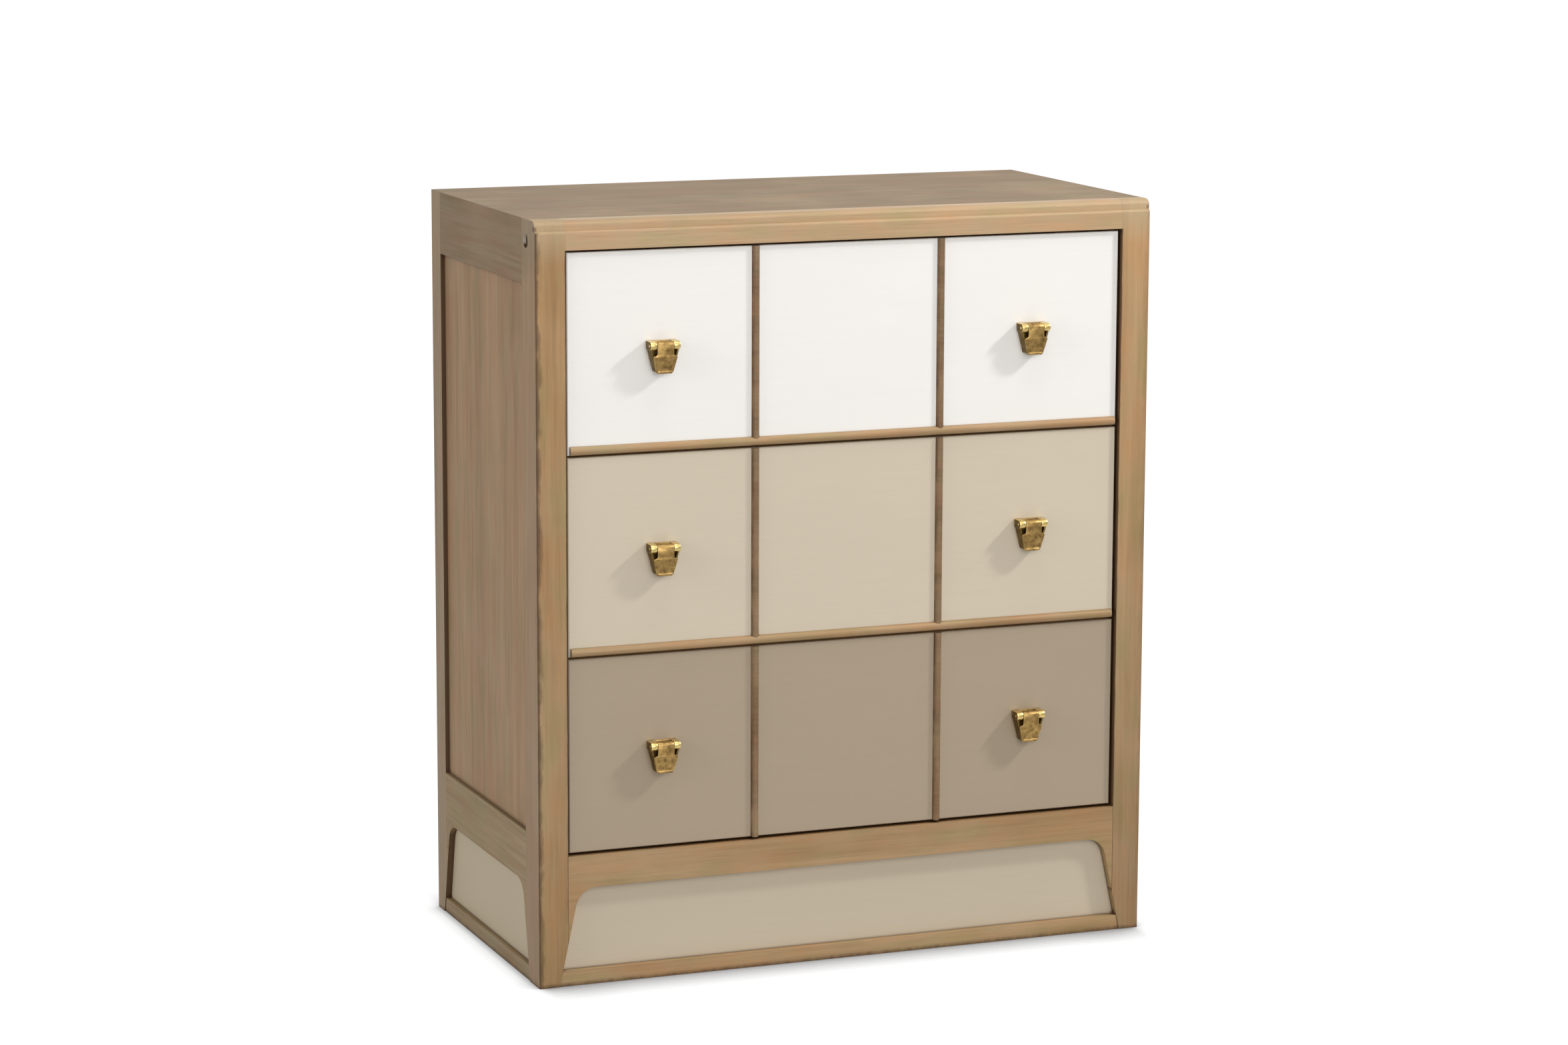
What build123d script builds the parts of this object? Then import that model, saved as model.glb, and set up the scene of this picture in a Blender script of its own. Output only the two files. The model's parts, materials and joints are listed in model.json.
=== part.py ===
from build123d import *
import os

# A chest of three inset drawers in a frame-and-panel case. The drawers hang on side runners, and each
# has two brass drop pulls whose tongues swing on a pin. Millimetres, +Z up, the front faces -Y, and the
# origin is on the floor under the middle of the whole chest, pulls included.

# Case
case_width = 900.0
case_depth = 466.0
case_height = 1045.0

# Frame of posts and rails
post_width = 42.0
front_post_depth = 56.0
back_post_depth = 42.0
rail_thickness = 24.0
top_thickness = 18.0
front_top_rail_height = 40.0
side_top_rail_height = 69.0
front_apron_height = 45.0
side_apron_height = 72.0
arris_radius = 1.5

# Moulded nose along the front of the top
nose_depth = 30.0
nose_round_depth = 12.0
nose_round_height = 7.0
nose_fillet_height = 7.0
nose_step = 4.0

# Plinth: openings between the tapered feet, the panels in them and the sole strips
plinth_height = 136.0
foot_taper = 29.0
front_foot_width = 29.0
side_front_foot_width = 42.0
side_back_foot_width = 31.0
plinth_corner_radius = 30.0
plinth_panel_thickness = 10.0
front_plinth_recess = 13.0
side_plinth_recess = 9.0
sole_height = 21.0
sole_setback = 1.0

# Joinery
tenon_length = 20.0
tenon_thickness = 8.0
tenon_shoulder = 9.0
groove_depth = 8.0
joint_gap = 0.1
overrun = 5.0

# Panels and boards inside the frame
side_panel_thickness = 10.0
side_panel_recess = 6.0
back_panel_thickness = 8.0
back_rebate_width = 10.0
back_rail_thickness = 24.0
bottom_board_thickness = 10.0
bottom_board_drop = 8.0
bottom_groove_depth = 6.0

# Sunken plugs that hide the screws in the posts' outer faces
plug_radius = 9.5
plug_thickness = 2.5
plug_sink = 4.0
plug_setback = 40.0
plug_drop = 29.0

# Drawers
bottom_front_height = 267.0
middle_front_height = 271.0
drawer_gap = 3.5
drawer_inset = 6.0
front_thickness = 20.0
front_edge_cut = 1.2
drawer_side_thickness = 14.0
drawer_side_lift = 12.0
drawer_side_drop = 20.0
drawer_rear_clearance = 32.0
drawer_back_thickness = 12.0
drawer_back_inset = 12.0
drawer_back_drop = 6.0
housing_depth = 4.0
drawer_bottom_thickness = 6.0
drawer_bottom_lift = 14.0
drawer_bottom_groove = 6.0

# Dovetails at the drawers' front corners
tail_count = 5
tail_length = 14.0
tail_root_share = 0.5
tail_flare = 2.0

# Runners that the drawer sides hang on
runner_height = 18.0
runner_engagement = 6.5
runner_setback = 32.0
runner_end_gap = 2.0
running_gap = 0.3
runner_side_gap = 0.5
runner_under_gap = 0.7

# Half-round beads on the drawer fronts
upright_bead_width = 11.0
upright_bead_proud = 5.0
upright_bead_offset = 136.0
lower_bead_radius = 6.0
lower_bead_end_gap = 3.0

# Drop pulls
pull_offset = 272.0
pull_rise = 8.5
pull_axis_stand_off = 15.0
barrel_radius = 5.75
barrel_length = 43.0
knuckle_length = 9.5
knuckle_gap = 0.3
pin_radius = 2.0
pin_gap = 0.05
bracket_plate_thickness = 2.5
bracket_wall = 2.5
bracket_drop = 36.0
bracket_foot_width = 24.0
bracket_boss_width = 9.0
bracket_boss_height = 5.5
tongue_thickness = 3.0
tongue_shoulder_drop = 13.5
tongue_shoulder_width = 35.0
tongue_drop = 38.0
tongue_tip_width = 23.0
tongue_tip_setback = 5.0
tongue_corner_cut = 2.0
tongue_lip_radius = 2.2
tongue_rest_gap = 0.4

# Machine screws that hold the brackets from inside the drawers
screw_radius = 2.0
screw_head_radius = 4.0
screw_head_height = 2.4
screw_bite = 6.0
screw_gap = 0.1
screw_drop = 8.0

# Places that follow from the sizes above
pull_reach = pull_axis_stand_off + barrel_radius - drawer_inset
front_y = (pull_reach - case_depth) / 2
half_width = case_width / 2
half_opening = half_width - post_width
inner_front = front_post_depth
inner_back = case_depth - back_post_depth
opening_low = plinth_height + front_apron_height
opening_high = case_height - front_top_rail_height
top_underside = case_height - top_thickness
side_panel_low = plinth_height + side_apron_height
side_panel_high = top_underside - side_top_rail_height
back_panel_front = case_depth - back_panel_thickness
back_rail_front = back_panel_front - back_rail_thickness
front_plinth_depth = front_plinth_recess + plinth_panel_thickness
side_plinth_depth = side_plinth_recess + plinth_panel_thickness
rail_tenon_setback = (rail_thickness - tenon_thickness) / 2
bottom_board_high = opening_low - bottom_board_drop
bottom_board_low = bottom_board_high - bottom_board_thickness

front_width = case_width - 2 * post_width - 2 * drawer_gap
half_front = front_width / 2
face_setback = drawer_inset
front_back_setback = drawer_inset + front_thickness
box_back_setback = back_panel_front - drawer_rear_clearance
drawer_back_end = box_back_setback - drawer_back_inset
drawer_back_start = drawer_back_end - drawer_back_thickness
inner_box = half_front - drawer_side_thickness

top_front_height = opening_high - opening_low - bottom_front_height - middle_front_height - 4 * drawer_gap
bottom_front_low = opening_low + drawer_gap
middle_front_low = bottom_front_low + bottom_front_height + drawer_gap
top_front_low = middle_front_low + middle_front_height + drawer_gap
drawer_fronts = {
    "bottom": (bottom_front_low, bottom_front_height),
    "middle": (middle_front_low, middle_front_height),
    "top": (top_front_low, top_front_height),
}

centre_knuckle_length = barrel_length - 2 * knuckle_length - 2 * knuckle_gap
bracket_depth = pull_axis_stand_off + barrel_radius
bore_radius = pin_radius + pin_gap


def depth_y(setback):
    """Y of a point that lies this far behind the posts' front faces."""
    return front_y + setback


def front_plane(setback):
    """Upright plane across the chest, this far behind the posts' front faces, facing the front."""
    return Plane.XZ.offset(-depth_y(setback))


def block(low, high, mode=Mode.ADD):
    """A square-edged length of timber between two opposite corners, given as x, setback and z."""
    size = [b - a for a, b in zip(low, high)]
    with Locations((low[0], depth_y(low[1]), low[2])):
        Box(*size, align=(Align.MIN, Align.MIN, Align.MIN), mode=mode)


def save(part, name):
    """Labels one finished piece and writes it."""
    part.label = name
    export_step(part, f"parts/{name}.step")


def save_pair(part, name):
    """Writes a left-hand piece and its mirror image on the right; the name has a place for the side."""
    save(part, name.format("left"))
    with BuildPart() as right:
        mirror(part, about=Plane.YZ)
    save(right.part, name.format("right"))


def nose_line():
    """The moulded front edge: a round, a flat fillet and a rounded step out to the rail's face."""
    round_low = case_height - nose_round_height
    round_back = nose_step + nose_round_depth
    step_high = round_low - nose_fillet_height
    step_low = step_high - nose_step
    Line((depth_y(nose_depth), case_height), (depth_y(round_back), case_height))
    EllipticalCenterArc(
        (depth_y(round_back), round_low), nose_round_depth, nose_round_height, start_angle=90
    )
    Line((depth_y(nose_step), round_low), (depth_y(nose_step), step_high))
    RadiusArc((depth_y(nose_step), step_high), (depth_y(0), step_low), -nose_step)
    return step_low


def left_mitre(start, end):
    """Wedge between two setbacks that meets the mitred left end of the top board."""
    with BuildSketch(front_plane(end)) as wedge:
        Polygon(
            (-half_width, top_underside),
            (top_thickness - half_width, top_underside),
            (-half_width, case_height),
            align=None,
        )
    extrude(wedge.sketch, amount=end - start)


def plinth_outline(first, last, gap=0.0):
    """Opening between two feet, from floor to rail, with the feet's taper and rounded upper corners."""
    Polygon(
        (first + gap, 0),
        (first + foot_taper + gap, plinth_height - gap),
        (last - foot_taper - gap, plinth_height - gap),
        (last - gap, 0),
        align=None,
    )
    upper = vertices().group_by(Axis.Y)[-1]
    fillet(upper, plinth_corner_radius)


def front_plinth_outline(gap=0.0):
    """The front opening of the plinth, in x and z."""
    plinth_outline(front_foot_width - half_width, half_width - front_foot_width, gap)


def side_plinth_outline(gap=0.0):
    """A side opening of the plinth, in y and z."""
    plinth_outline(
        depth_y(side_front_foot_width), depth_y(case_depth - side_back_foot_width), gap
    )


def cut_front_plinth():
    """Cuts the front opening as deep as its panel's back."""
    with BuildSketch(front_plane(front_plinth_depth)) as opening:
        front_plinth_outline()
    extrude(opening.sketch, amount=front_plinth_depth + overrun, mode=Mode.SUBTRACT)


def cut_left_plinth():
    """Cuts the left opening as deep as its panel's back."""
    with BuildSketch(Plane.YZ.offset(-half_width - overrun)) as opening:
        side_plinth_outline()
    extrude(opening.sketch, amount=side_plinth_depth + overrun, mode=Mode.SUBTRACT)


def left_rail_joint(low, high, gap=0.0, mode=Mode.ADD):
    """Tenons of a left side rail, or with a gap their mortises, at both ends."""
    near = -half_width + rail_tenon_setback - gap
    far = -half_width + rail_tenon_setback + tenon_thickness + gap
    z_low = low + tenon_shoulder - gap
    z_high = high - tenon_shoulder + gap
    block(
        (near, inner_front - tenon_length - gap, z_low),
        (far, inner_front, z_high),
        mode=mode,
    )
    block(
        (near, inner_back, z_low), (far, inner_back + tenon_length + gap, z_high), mode=mode
    )


def cross_rail_joint(low, high, setback, gap=0.0, mode=Mode.ADD):
    """Tenons of a front or back rail, or with a gap their mortises, in both posts."""
    for side in (-1, 1):
        ends = sorted((side * half_opening, side * (half_opening + tenon_length + gap)))
        block(
            (ends[0], setback - gap, low + tenon_shoulder - gap),
            (ends[1], setback + tenon_thickness + gap, high - tenon_shoulder + gap),
            mode=mode,
        )


def front_top_rail_joint(gap=0.0, mode=Mode.ADD):
    """Joint of the moulded top rail with the front posts, below the nose."""
    setback = (nose_depth - tenon_thickness) / 2
    cross_rail_joint(opening_high, top_underside, setback, gap, mode)


def front_apron_joint(gap=0.0, mode=Mode.ADD):
    """Joint of the front apron with the front posts."""
    cross_rail_joint(plinth_height, opening_low, rail_tenon_setback, gap, mode)


def back_rail_joint(gap=0.0, mode=Mode.ADD):
    """Joint of the back rail with the back posts."""
    setback = back_rail_front + (back_rail_thickness - tenon_thickness) / 2
    cross_rail_joint(plinth_height, opening_low, setback, gap, mode)


def left_panel_block(gap=0.0, mode=Mode.ADD):
    """The left side panel with its edges in the grooves, or with a gap the grooves themselves."""
    near = -half_width + side_panel_recess
    reach = groove_depth - joint_gap + gap
    block(
        (near - gap, inner_front - reach, side_panel_low - reach),
        (near + side_panel_thickness + gap, inner_back + reach, side_panel_high + reach),
        mode=mode,
    )


def bottom_board_outline(gap=0.0):
    """Outline of the bottom board, notched round the four posts."""
    reach = bottom_groove_depth - joint_gap + gap
    side = half_width - rail_thickness + reach
    front = rail_thickness - reach
    back = back_rail_front + reach
    for half, start, end in (
        (side, inner_front + joint_gap, inner_back - joint_gap),
        (half_opening - joint_gap, front, back),
    ):
        with Locations((0, (depth_y(start) + depth_y(end)) / 2)):
            Rectangle(2 * half, end - start)


def bottom_board_block(gap=0.0, mode=Mode.ADD):
    """The bottom board, or with a gap the groove that takes its edges."""
    with BuildSketch(Plane.XY.offset(bottom_board_low - gap)) as outline:
        bottom_board_outline(gap)
    extrude(outline.sketch, amount=bottom_board_thickness + 2 * gap, mode=mode)


def left_plug_disc(radius, start, end, mode=Mode.ADD):
    """A disc on the axis of the left front post's plug, between two depths below the post's face."""
    with BuildSketch(Plane.YZ.offset(start - half_width)) as disc:
        with Locations((depth_y(plug_setback), case_height - plug_drop)):
            Circle(radius)
    extrude(disc.sketch, amount=end - start, mode=mode)


def make_front_post():
    """Left front post: one length from floor to top, moulded at its head and cut away at its foot."""
    with BuildPart() as post:
        with BuildSketch(Plane.YZ.offset(-half_width)):
            with BuildLine():
                step_low = nose_line()
                Polyline(
                    (depth_y(0), step_low),
                    (depth_y(0), 0),
                    (depth_y(front_post_depth), 0),
                    (depth_y(front_post_depth), top_underside),
                    (depth_y(nose_depth), top_underside),
                    (depth_y(nose_depth), case_height),
                )
            make_face()
        extrude(amount=post_width)
        long_edges = edges().filter_by(Axis.Z).sort_by(SortBy.LENGTH)[-4:]
        front_corner = long_edges.sort_by(Axis.Y)[:2].sort_by(Axis.X)[0]
        fillet(front_corner, arris_radius)
        left_mitre(nose_depth, front_post_depth)
        cut_front_plinth()
        cut_left_plinth()
        front_top_rail_joint(joint_gap, Mode.SUBTRACT)
        front_apron_joint(joint_gap, Mode.SUBTRACT)
        left_rail_joint(side_panel_high, top_underside, joint_gap, Mode.SUBTRACT)
        left_rail_joint(plinth_height, side_panel_low, joint_gap, Mode.SUBTRACT)
        left_panel_block(joint_gap, Mode.SUBTRACT)
        left_plug_disc(
            plug_radius + joint_gap, -overrun, plug_sink + plug_thickness, Mode.SUBTRACT
        )
    return post.part


def make_back_post():
    """Left back post, rebated for the back panel."""
    with BuildPart() as post:
        block(
            (-half_width, inner_back, 0),
            (-half_opening, case_depth, top_underside),
        )
        left_mitre(inner_back, case_depth)
        outer = edges().filter_by(Axis.Z).sort_by(Axis.Y)[-2:].sort_by(Axis.X)[0]
        fillet(outer, arris_radius)
        cut_left_plinth()
        back_rail_joint(joint_gap, Mode.SUBTRACT)
        left_rail_joint(side_panel_high, top_underside, joint_gap, Mode.SUBTRACT)
        left_rail_joint(plinth_height, side_panel_low, joint_gap, Mode.SUBTRACT)
        left_panel_block(joint_gap, Mode.SUBTRACT)
        back_panel_block(joint_gap, Mode.SUBTRACT)
    return post.part


def back_panel_block(gap=0.0, mode=Mode.ADD):
    """The back panel, or with a gap the rebate that takes it."""
    half = half_opening + back_rebate_width - joint_gap + gap
    block(
        (-half, back_panel_front, plinth_height - gap),
        (half, case_depth + gap, top_underside),
        mode=mode,
    )


def make_top_board():
    """Flat top behind the moulded nose, mitred to the sides so that no end grain shows."""
    under_half = half_width - top_thickness
    with BuildPart() as top:
        with BuildSketch(front_plane(case_depth)):
            Polygon(
                (-under_half, top_underside),
                (under_half, top_underside),
                (half_width, case_height),
                (-half_width, case_height),
                align=None,
            )
        extrude(amount=case_depth - nose_depth)
    return top.part


def make_front_top_rail():
    """Moulded rail above the drawers, tenoned between the posts."""
    with BuildPart() as rail:
        with BuildSketch(Plane.YZ.offset(-half_opening)):
            with BuildLine():
                step_low = nose_line()
                Polyline(
                    (depth_y(0), step_low),
                    (depth_y(0), opening_high),
                    (depth_y(nose_depth), opening_high),
                    (depth_y(nose_depth), case_height),
                )
            make_face()
        extrude(amount=2 * half_opening)
        front_top_rail_joint()
    return rail.part


def make_front_apron():
    """Rail below the drawers whose ends run down into the tapered feet."""
    with BuildPart() as apron:
        block((-half_opening, 0, 0), (half_opening, rail_thickness, opening_low))
        with BuildSketch(front_plane(rail_thickness + overrun)):
            front_plinth_outline()
        extrude(amount=rail_thickness + 2 * overrun, mode=Mode.SUBTRACT)
        front_apron_joint()
        bottom_board_block(joint_gap, Mode.SUBTRACT)
    return apron.part


def make_back_rail():
    """Rail between the back posts under the back panel's lower edge."""
    with BuildPart() as rail:
        block(
            (-half_opening, back_rail_front, plinth_height),
            (half_opening, back_panel_front, opening_low),
        )
        back_rail_joint()
        bottom_board_block(joint_gap, Mode.SUBTRACT)
    return rail.part


def make_side_top_rail():
    """Upper rail of the left frame, mitred to the top."""
    with BuildPart() as rail:
        block(
            (-half_width, inner_front, side_panel_high),
            (-half_width + rail_thickness, inner_back, top_underside),
        )
        left_mitre(inner_front, inner_back)
        left_rail_joint(side_panel_high, top_underside)
        left_panel_block(joint_gap, Mode.SUBTRACT)
    return rail.part


def make_side_apron():
    """Lower rail of the left frame, shaped like the front one."""
    with BuildPart() as apron:
        block(
            (-half_width, inner_front, 0),
            (-half_width + rail_thickness, inner_back, side_panel_low),
        )
        with BuildSketch(Plane.YZ.offset(-half_width - overrun)):
            side_plinth_outline()
        extrude(amount=rail_thickness + 2 * overrun, mode=Mode.SUBTRACT)
        left_rail_joint(plinth_height, side_panel_low)
        left_panel_block(joint_gap, Mode.SUBTRACT)
        bottom_board_block(joint_gap, Mode.SUBTRACT)
    return apron.part


def make_front_plinth(low, high, setback):
    """What fills the front plinth opening between two heights: its panel or its sole strip."""
    with BuildPart() as filling:
        with BuildSketch(front_plane(front_plinth_depth)):
            front_plinth_outline(joint_gap)
            with Locations((0, (low + high) / 2)):
                Rectangle(case_width, high - low, mode=Mode.INTERSECT)
        extrude(amount=front_plinth_depth - setback)
    return filling.part


def make_side_plinth(low, high, setback):
    """What fills the left plinth opening between two heights: its panel or its sole strip."""
    with BuildPart() as filling:
        with BuildSketch(Plane.YZ.offset(-half_width + setback)):
            side_plinth_outline(joint_gap)
            with Locations((depth_y(case_depth / 2), (low + high) / 2)):
                Rectangle(case_depth, high - low, mode=Mode.INTERSECT)
        extrude(amount=side_plinth_depth - setback)
    return filling.part


def runner_high(drawer):
    """Height of the upper face of a drawer's runners, which run along the middle of its sides."""
    low, high = side_heights(drawer)
    return (low + high + runner_height) / 2


def make_runners():
    """Runners on the left posts, one for each drawer."""
    with BuildPart() as runners:
        for drawer in drawer_fronts:
            block(
                (-half_opening, runner_setback, runner_high(drawer) - runner_height),
                (
                    -half_front + runner_engagement,
                    back_panel_front - runner_end_gap,
                    runner_high(drawer),
                ),
            )
    return runners.part


def side_heights(drawer):
    """Lowest and highest z of a drawer's sides."""
    low, height = drawer_fronts[drawer]
    return low + drawer_side_lift, low + height - drawer_side_drop


def tails(drawer, gap=0.0):
    """Dovetails on the front end of a drawer side, in y and z, or with a gap their sockets."""
    low, high = side_heights(drawer)
    pitch = (high - low) / tail_count
    root = pitch * tail_root_share / 2 + gap
    for index in range(tail_count):
        middle = low + pitch * (index + 0.5)
        Polygon(
            (depth_y(front_back_setback), middle - root),
            (depth_y(front_back_setback - tail_length - gap), middle - root - tail_flare),
            (depth_y(front_back_setback - tail_length - gap), middle + root + tail_flare),
            (depth_y(front_back_setback), middle + root),
            align=None,
        )


def drawer_bottom_block(drawer, gap=0.0, mode=Mode.ADD):
    """A drawer's bottom with its edges in the grooves, or with a gap the grooves."""
    low = side_heights(drawer)[0] + drawer_bottom_lift
    reach = drawer_bottom_groove - joint_gap + gap
    block(
        (-inner_box - reach, front_back_setback - reach, low - gap),
        (inner_box + reach, drawer_back_end + gap, low + drawer_bottom_thickness + gap),
        mode=mode,
    )


def drawer_back_block(drawer, gap=0.0, mode=Mode.ADD):
    """A drawer's back, standing on the bottom and housed in the sides, or with a gap the housings."""
    low, high = side_heights(drawer)
    reach = housing_depth - joint_gap + gap
    block(
        (
            -inner_box - reach,
            drawer_back_start - gap,
            low + drawer_bottom_lift + drawer_bottom_thickness + joint_gap - gap,
        ),
        (inner_box + reach, drawer_back_end + gap, high - drawer_back_drop + gap),
        mode=mode,
    )


def make_drawer_side(drawer):
    """Left side of a drawer: tails in front, a runner groove outside, bottom groove and housing inside."""
    low, high = side_heights(drawer)
    with BuildPart() as side:
        block(
            (-half_front, front_back_setback, low),
            (-inner_box, box_back_setback, high),
        )
        with BuildSketch(Plane.YZ.offset(-half_front)):
            tails(drawer)
        extrude(amount=drawer_side_thickness)
        runner_top = runner_high(drawer)
        block(
            (
                -half_front - overrun,
                runner_setback - running_gap,
                runner_top - runner_height - runner_under_gap,
            ),
            (
                -half_front + runner_engagement + runner_side_gap,
                box_back_setback + overrun,
                runner_top + running_gap,
            ),
            mode=Mode.SUBTRACT,
        )
        drawer_bottom_block(drawer, joint_gap, Mode.SUBTRACT)
        drawer_back_block(drawer, joint_gap, Mode.SUBTRACT)
    return side.part


def pull_axis_height(drawer):
    """Height of the pins of a drawer's pulls."""
    low, height = drawer_fronts[drawer]
    return low + height / 2 + pull_rise


def screw_rods(drawer, radius, start, end, mode=Mode.ADD):
    """Round rods on the axes of a drawer's two pull screws, from a setback forward to another."""
    with BuildSketch(front_plane(start)) as rods:
        for side in (-1, 1):
            with Locations((side * pull_offset, pull_axis_height(drawer) - screw_drop)):
                Circle(radius)
    extrude(rods.sketch, amount=start - end, mode=mode)


def make_drawer_front(drawer):
    """Front board with eased edges, dovetail sockets, the bottom's groove and the screws' holes."""
    low, height = drawer_fronts[drawer]
    with BuildPart() as board:
        block(
            (-half_front, face_setback, low),
            (half_front, front_back_setback, low + height),
        )
        chamfer(faces().sort_by(Axis.Y)[0].edges(), front_edge_cut)
        with BuildSketch(Plane.YZ.offset(-half_front - overrun)):
            tails(drawer, joint_gap)
        extrude(amount=drawer_side_thickness + overrun + joint_gap, mode=Mode.SUBTRACT)
        with BuildSketch(Plane.YZ.offset(inner_box - joint_gap)):
            tails(drawer, joint_gap)
        extrude(amount=drawer_side_thickness + overrun + joint_gap, mode=Mode.SUBTRACT)
        drawer_bottom_block(drawer, joint_gap, Mode.SUBTRACT)
        screw_rods(
            drawer,
            screw_radius + screw_gap,
            front_back_setback + overrun,
            face_setback - overrun,
            Mode.SUBTRACT,
        )
    return board.part


def make_drawer_back(drawer):
    """Back board of a drawer."""
    with BuildPart() as back:
        drawer_back_block(drawer)
    return back.part


def make_drawer_bottom(drawer):
    """Bottom of a drawer, slid in under the back."""
    with BuildPart() as bottom:
        drawer_bottom_block(drawer)
    return bottom.part


def make_lower_bead(drawer):
    """Half-round bead along a front's lower edge."""
    low = drawer_fronts[drawer][0]
    half = half_front - lower_bead_end_gap
    with BuildPart() as bead:
        with BuildSketch(Plane.YZ.offset(-half)):
            with Locations((depth_y(face_setback), low + lower_bead_radius)):
                Circle(lower_bead_radius)
                Rectangle(
                    lower_bead_radius,
                    2 * lower_bead_radius,
                    align=(Align.MIN, Align.CENTER),
                    mode=Mode.SUBTRACT,
                )
        extrude(amount=2 * half)
    return bead.part


def make_upright_beads(drawer, lower_bead):
    """The two upright beads that divide a front, coped over its lower bead where it has one."""
    low, height = drawer_fronts[drawer]
    half = upright_bead_width / 2
    face_y = depth_y(face_setback)
    bead_low = low + (0 if lower_bead is None else lower_bead_radius)
    bead_high = low + height
    with BuildPart() as beads:
        with BuildSketch(Plane.XY.offset(bead_low)):
            for side in (-1, 1):
                middle = side * upright_bead_offset
                with BuildLine():
                    ThreePointArc(
                        (middle - half, face_y),
                        (middle, face_y - upright_bead_proud),
                        (middle + half, face_y),
                    )
                    Line((middle + half, face_y), (middle - half, face_y))
                make_face()
        extrude(amount=bead_high - bead_low)
        if lower_bead is not None:
            add(lower_bead, mode=Mode.SUBTRACT)
    return beads.part


def bracket_outline(middle, axis_z, head):
    """Tapered outline of a bracket in x and z, from a height above the pin down to its foot."""
    half = barrel_length / 2
    foot = bracket_foot_width / 2
    Polygon(
        (middle - half, axis_z + head),
        (middle + half, axis_z + head),
        (middle + half, axis_z),
        (middle + foot, axis_z - bracket_drop),
        (middle - foot, axis_z - bracket_drop),
        (middle - half, axis_z),
        align=None,
    )


def bracket_hollow(middle, axis_z):
    """Space between a bracket's side walls, which is open at the foot, in x and z."""
    head = barrel_length / 2 - bracket_wall
    foot = bracket_foot_width / 2 - bracket_wall
    splay = (head - foot) * overrun / bracket_drop
    Polygon(
        (middle - head - splay, axis_z + overrun),
        (middle + head + splay, axis_z + overrun),
        (middle + foot - splay, axis_z - bracket_drop - overrun),
        (middle - foot + splay, axis_z - bracket_drop - overrun),
        align=None,
        mode=Mode.SUBTRACT,
    )


def tongue_room(axis_z):
    """Space in front of a bracket's walls that the tongue hangs in, in y and z."""
    rest = depth_y(face_setback - bracket_depth) + tongue_thickness + tongue_rest_gap
    front = depth_y(face_setback - bracket_depth) - overrun
    tip_z = axis_z - tongue_drop
    with BuildSketch(Plane.YZ.offset(-half_width)) as room:
        with BuildLine():
            TangentArc((rest, axis_z), (rest + tongue_tip_setback, tip_z), tangent=(0, -1))
            Polyline(
                (rest + tongue_tip_setback, tip_z),
                (front, tip_z),
                (front, axis_z + barrel_radius),
                (rest, axis_z + barrel_radius),
                (rest, axis_z),
            )
        make_face()
    return room.sketch


def make_brackets(drawer):
    """Cast brackets: a tapered plate with side walls and two outer knuckles, open at front and foot."""
    axis_z = pull_axis_height(drawer)
    with BuildPart() as brackets:
        for side in (-1, 1):
            middle = side * pull_offset
            with BuildSketch(front_plane(face_setback)):
                bracket_outline(middle, axis_z, head=0)
                bracket_hollow(middle, axis_z)
            extrude(amount=bracket_depth)
        extrude(tongue_room(axis_z), amount=case_width, mode=Mode.SUBTRACT)
        for side in (-1, 1):
            middle = side * pull_offset
            with BuildSketch(front_plane(face_setback)):
                bracket_outline(middle, axis_z, head=barrel_radius)
            extrude(amount=bracket_plate_thickness)
            with BuildSketch(front_plane(face_setback)):
                with Locations((middle, axis_z - screw_drop)):
                    Rectangle(bracket_boss_width, bracket_boss_width)
            extrude(amount=bracket_plate_thickness + bracket_boss_height)
            for end in (-1, 1):
                knuckle = middle + end * (barrel_length - knuckle_length) / 2
                with BuildSketch(Plane.YZ.offset(knuckle - knuckle_length / 2)):
                    knuckle_section(axis_z)
                extrude(amount=knuckle_length)
        with BuildSketch(Plane.YZ.offset(-half_width)):
            with Locations((depth_y(face_setback - pull_axis_stand_off), axis_z)):
                Circle(bore_radius)
        extrude(amount=case_width, mode=Mode.SUBTRACT)
        screw_rods(
            drawer,
            screw_radius + screw_gap,
            face_setback,
            face_setback - screw_bite - screw_gap,
            Mode.SUBTRACT,
        )
    return brackets.part


def knuckle_section(axis_z):
    """Section of an outer knuckle: a round eye on a web that runs back to the plate."""
    axis_y = depth_y(face_setback - pull_axis_stand_off)
    with Locations((axis_y, axis_z)):
        Circle(barrel_radius)
        Rectangle(
            pull_axis_stand_off,
            2 * barrel_radius,
            align=(Align.MIN, Align.CENTER),
        )


def make_pins(drawer):
    """Hinge pins of a drawer's two pulls."""
    axis_z = pull_axis_height(drawer)
    with BuildPart() as pins:
        for side in (-1, 1):
            with BuildSketch(Plane.YZ.offset(side * pull_offset - barrel_length / 2)):
                with Locations((depth_y(face_setback - pull_axis_stand_off), axis_z)):
                    Circle(pin_radius)
            extrude(amount=barrel_length)
    return pins.part


def make_screws(drawer):
    """Machine screws from inside the drawer, through its front into the brackets' bosses."""
    head_end = front_back_setback + screw_head_height
    with BuildPart() as screws:
        screw_rods(drawer, screw_radius, front_back_setback, face_setback - screw_bite)
        screw_rods(drawer, screw_head_radius, head_end, front_back_setback)
    return screws.part


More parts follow.
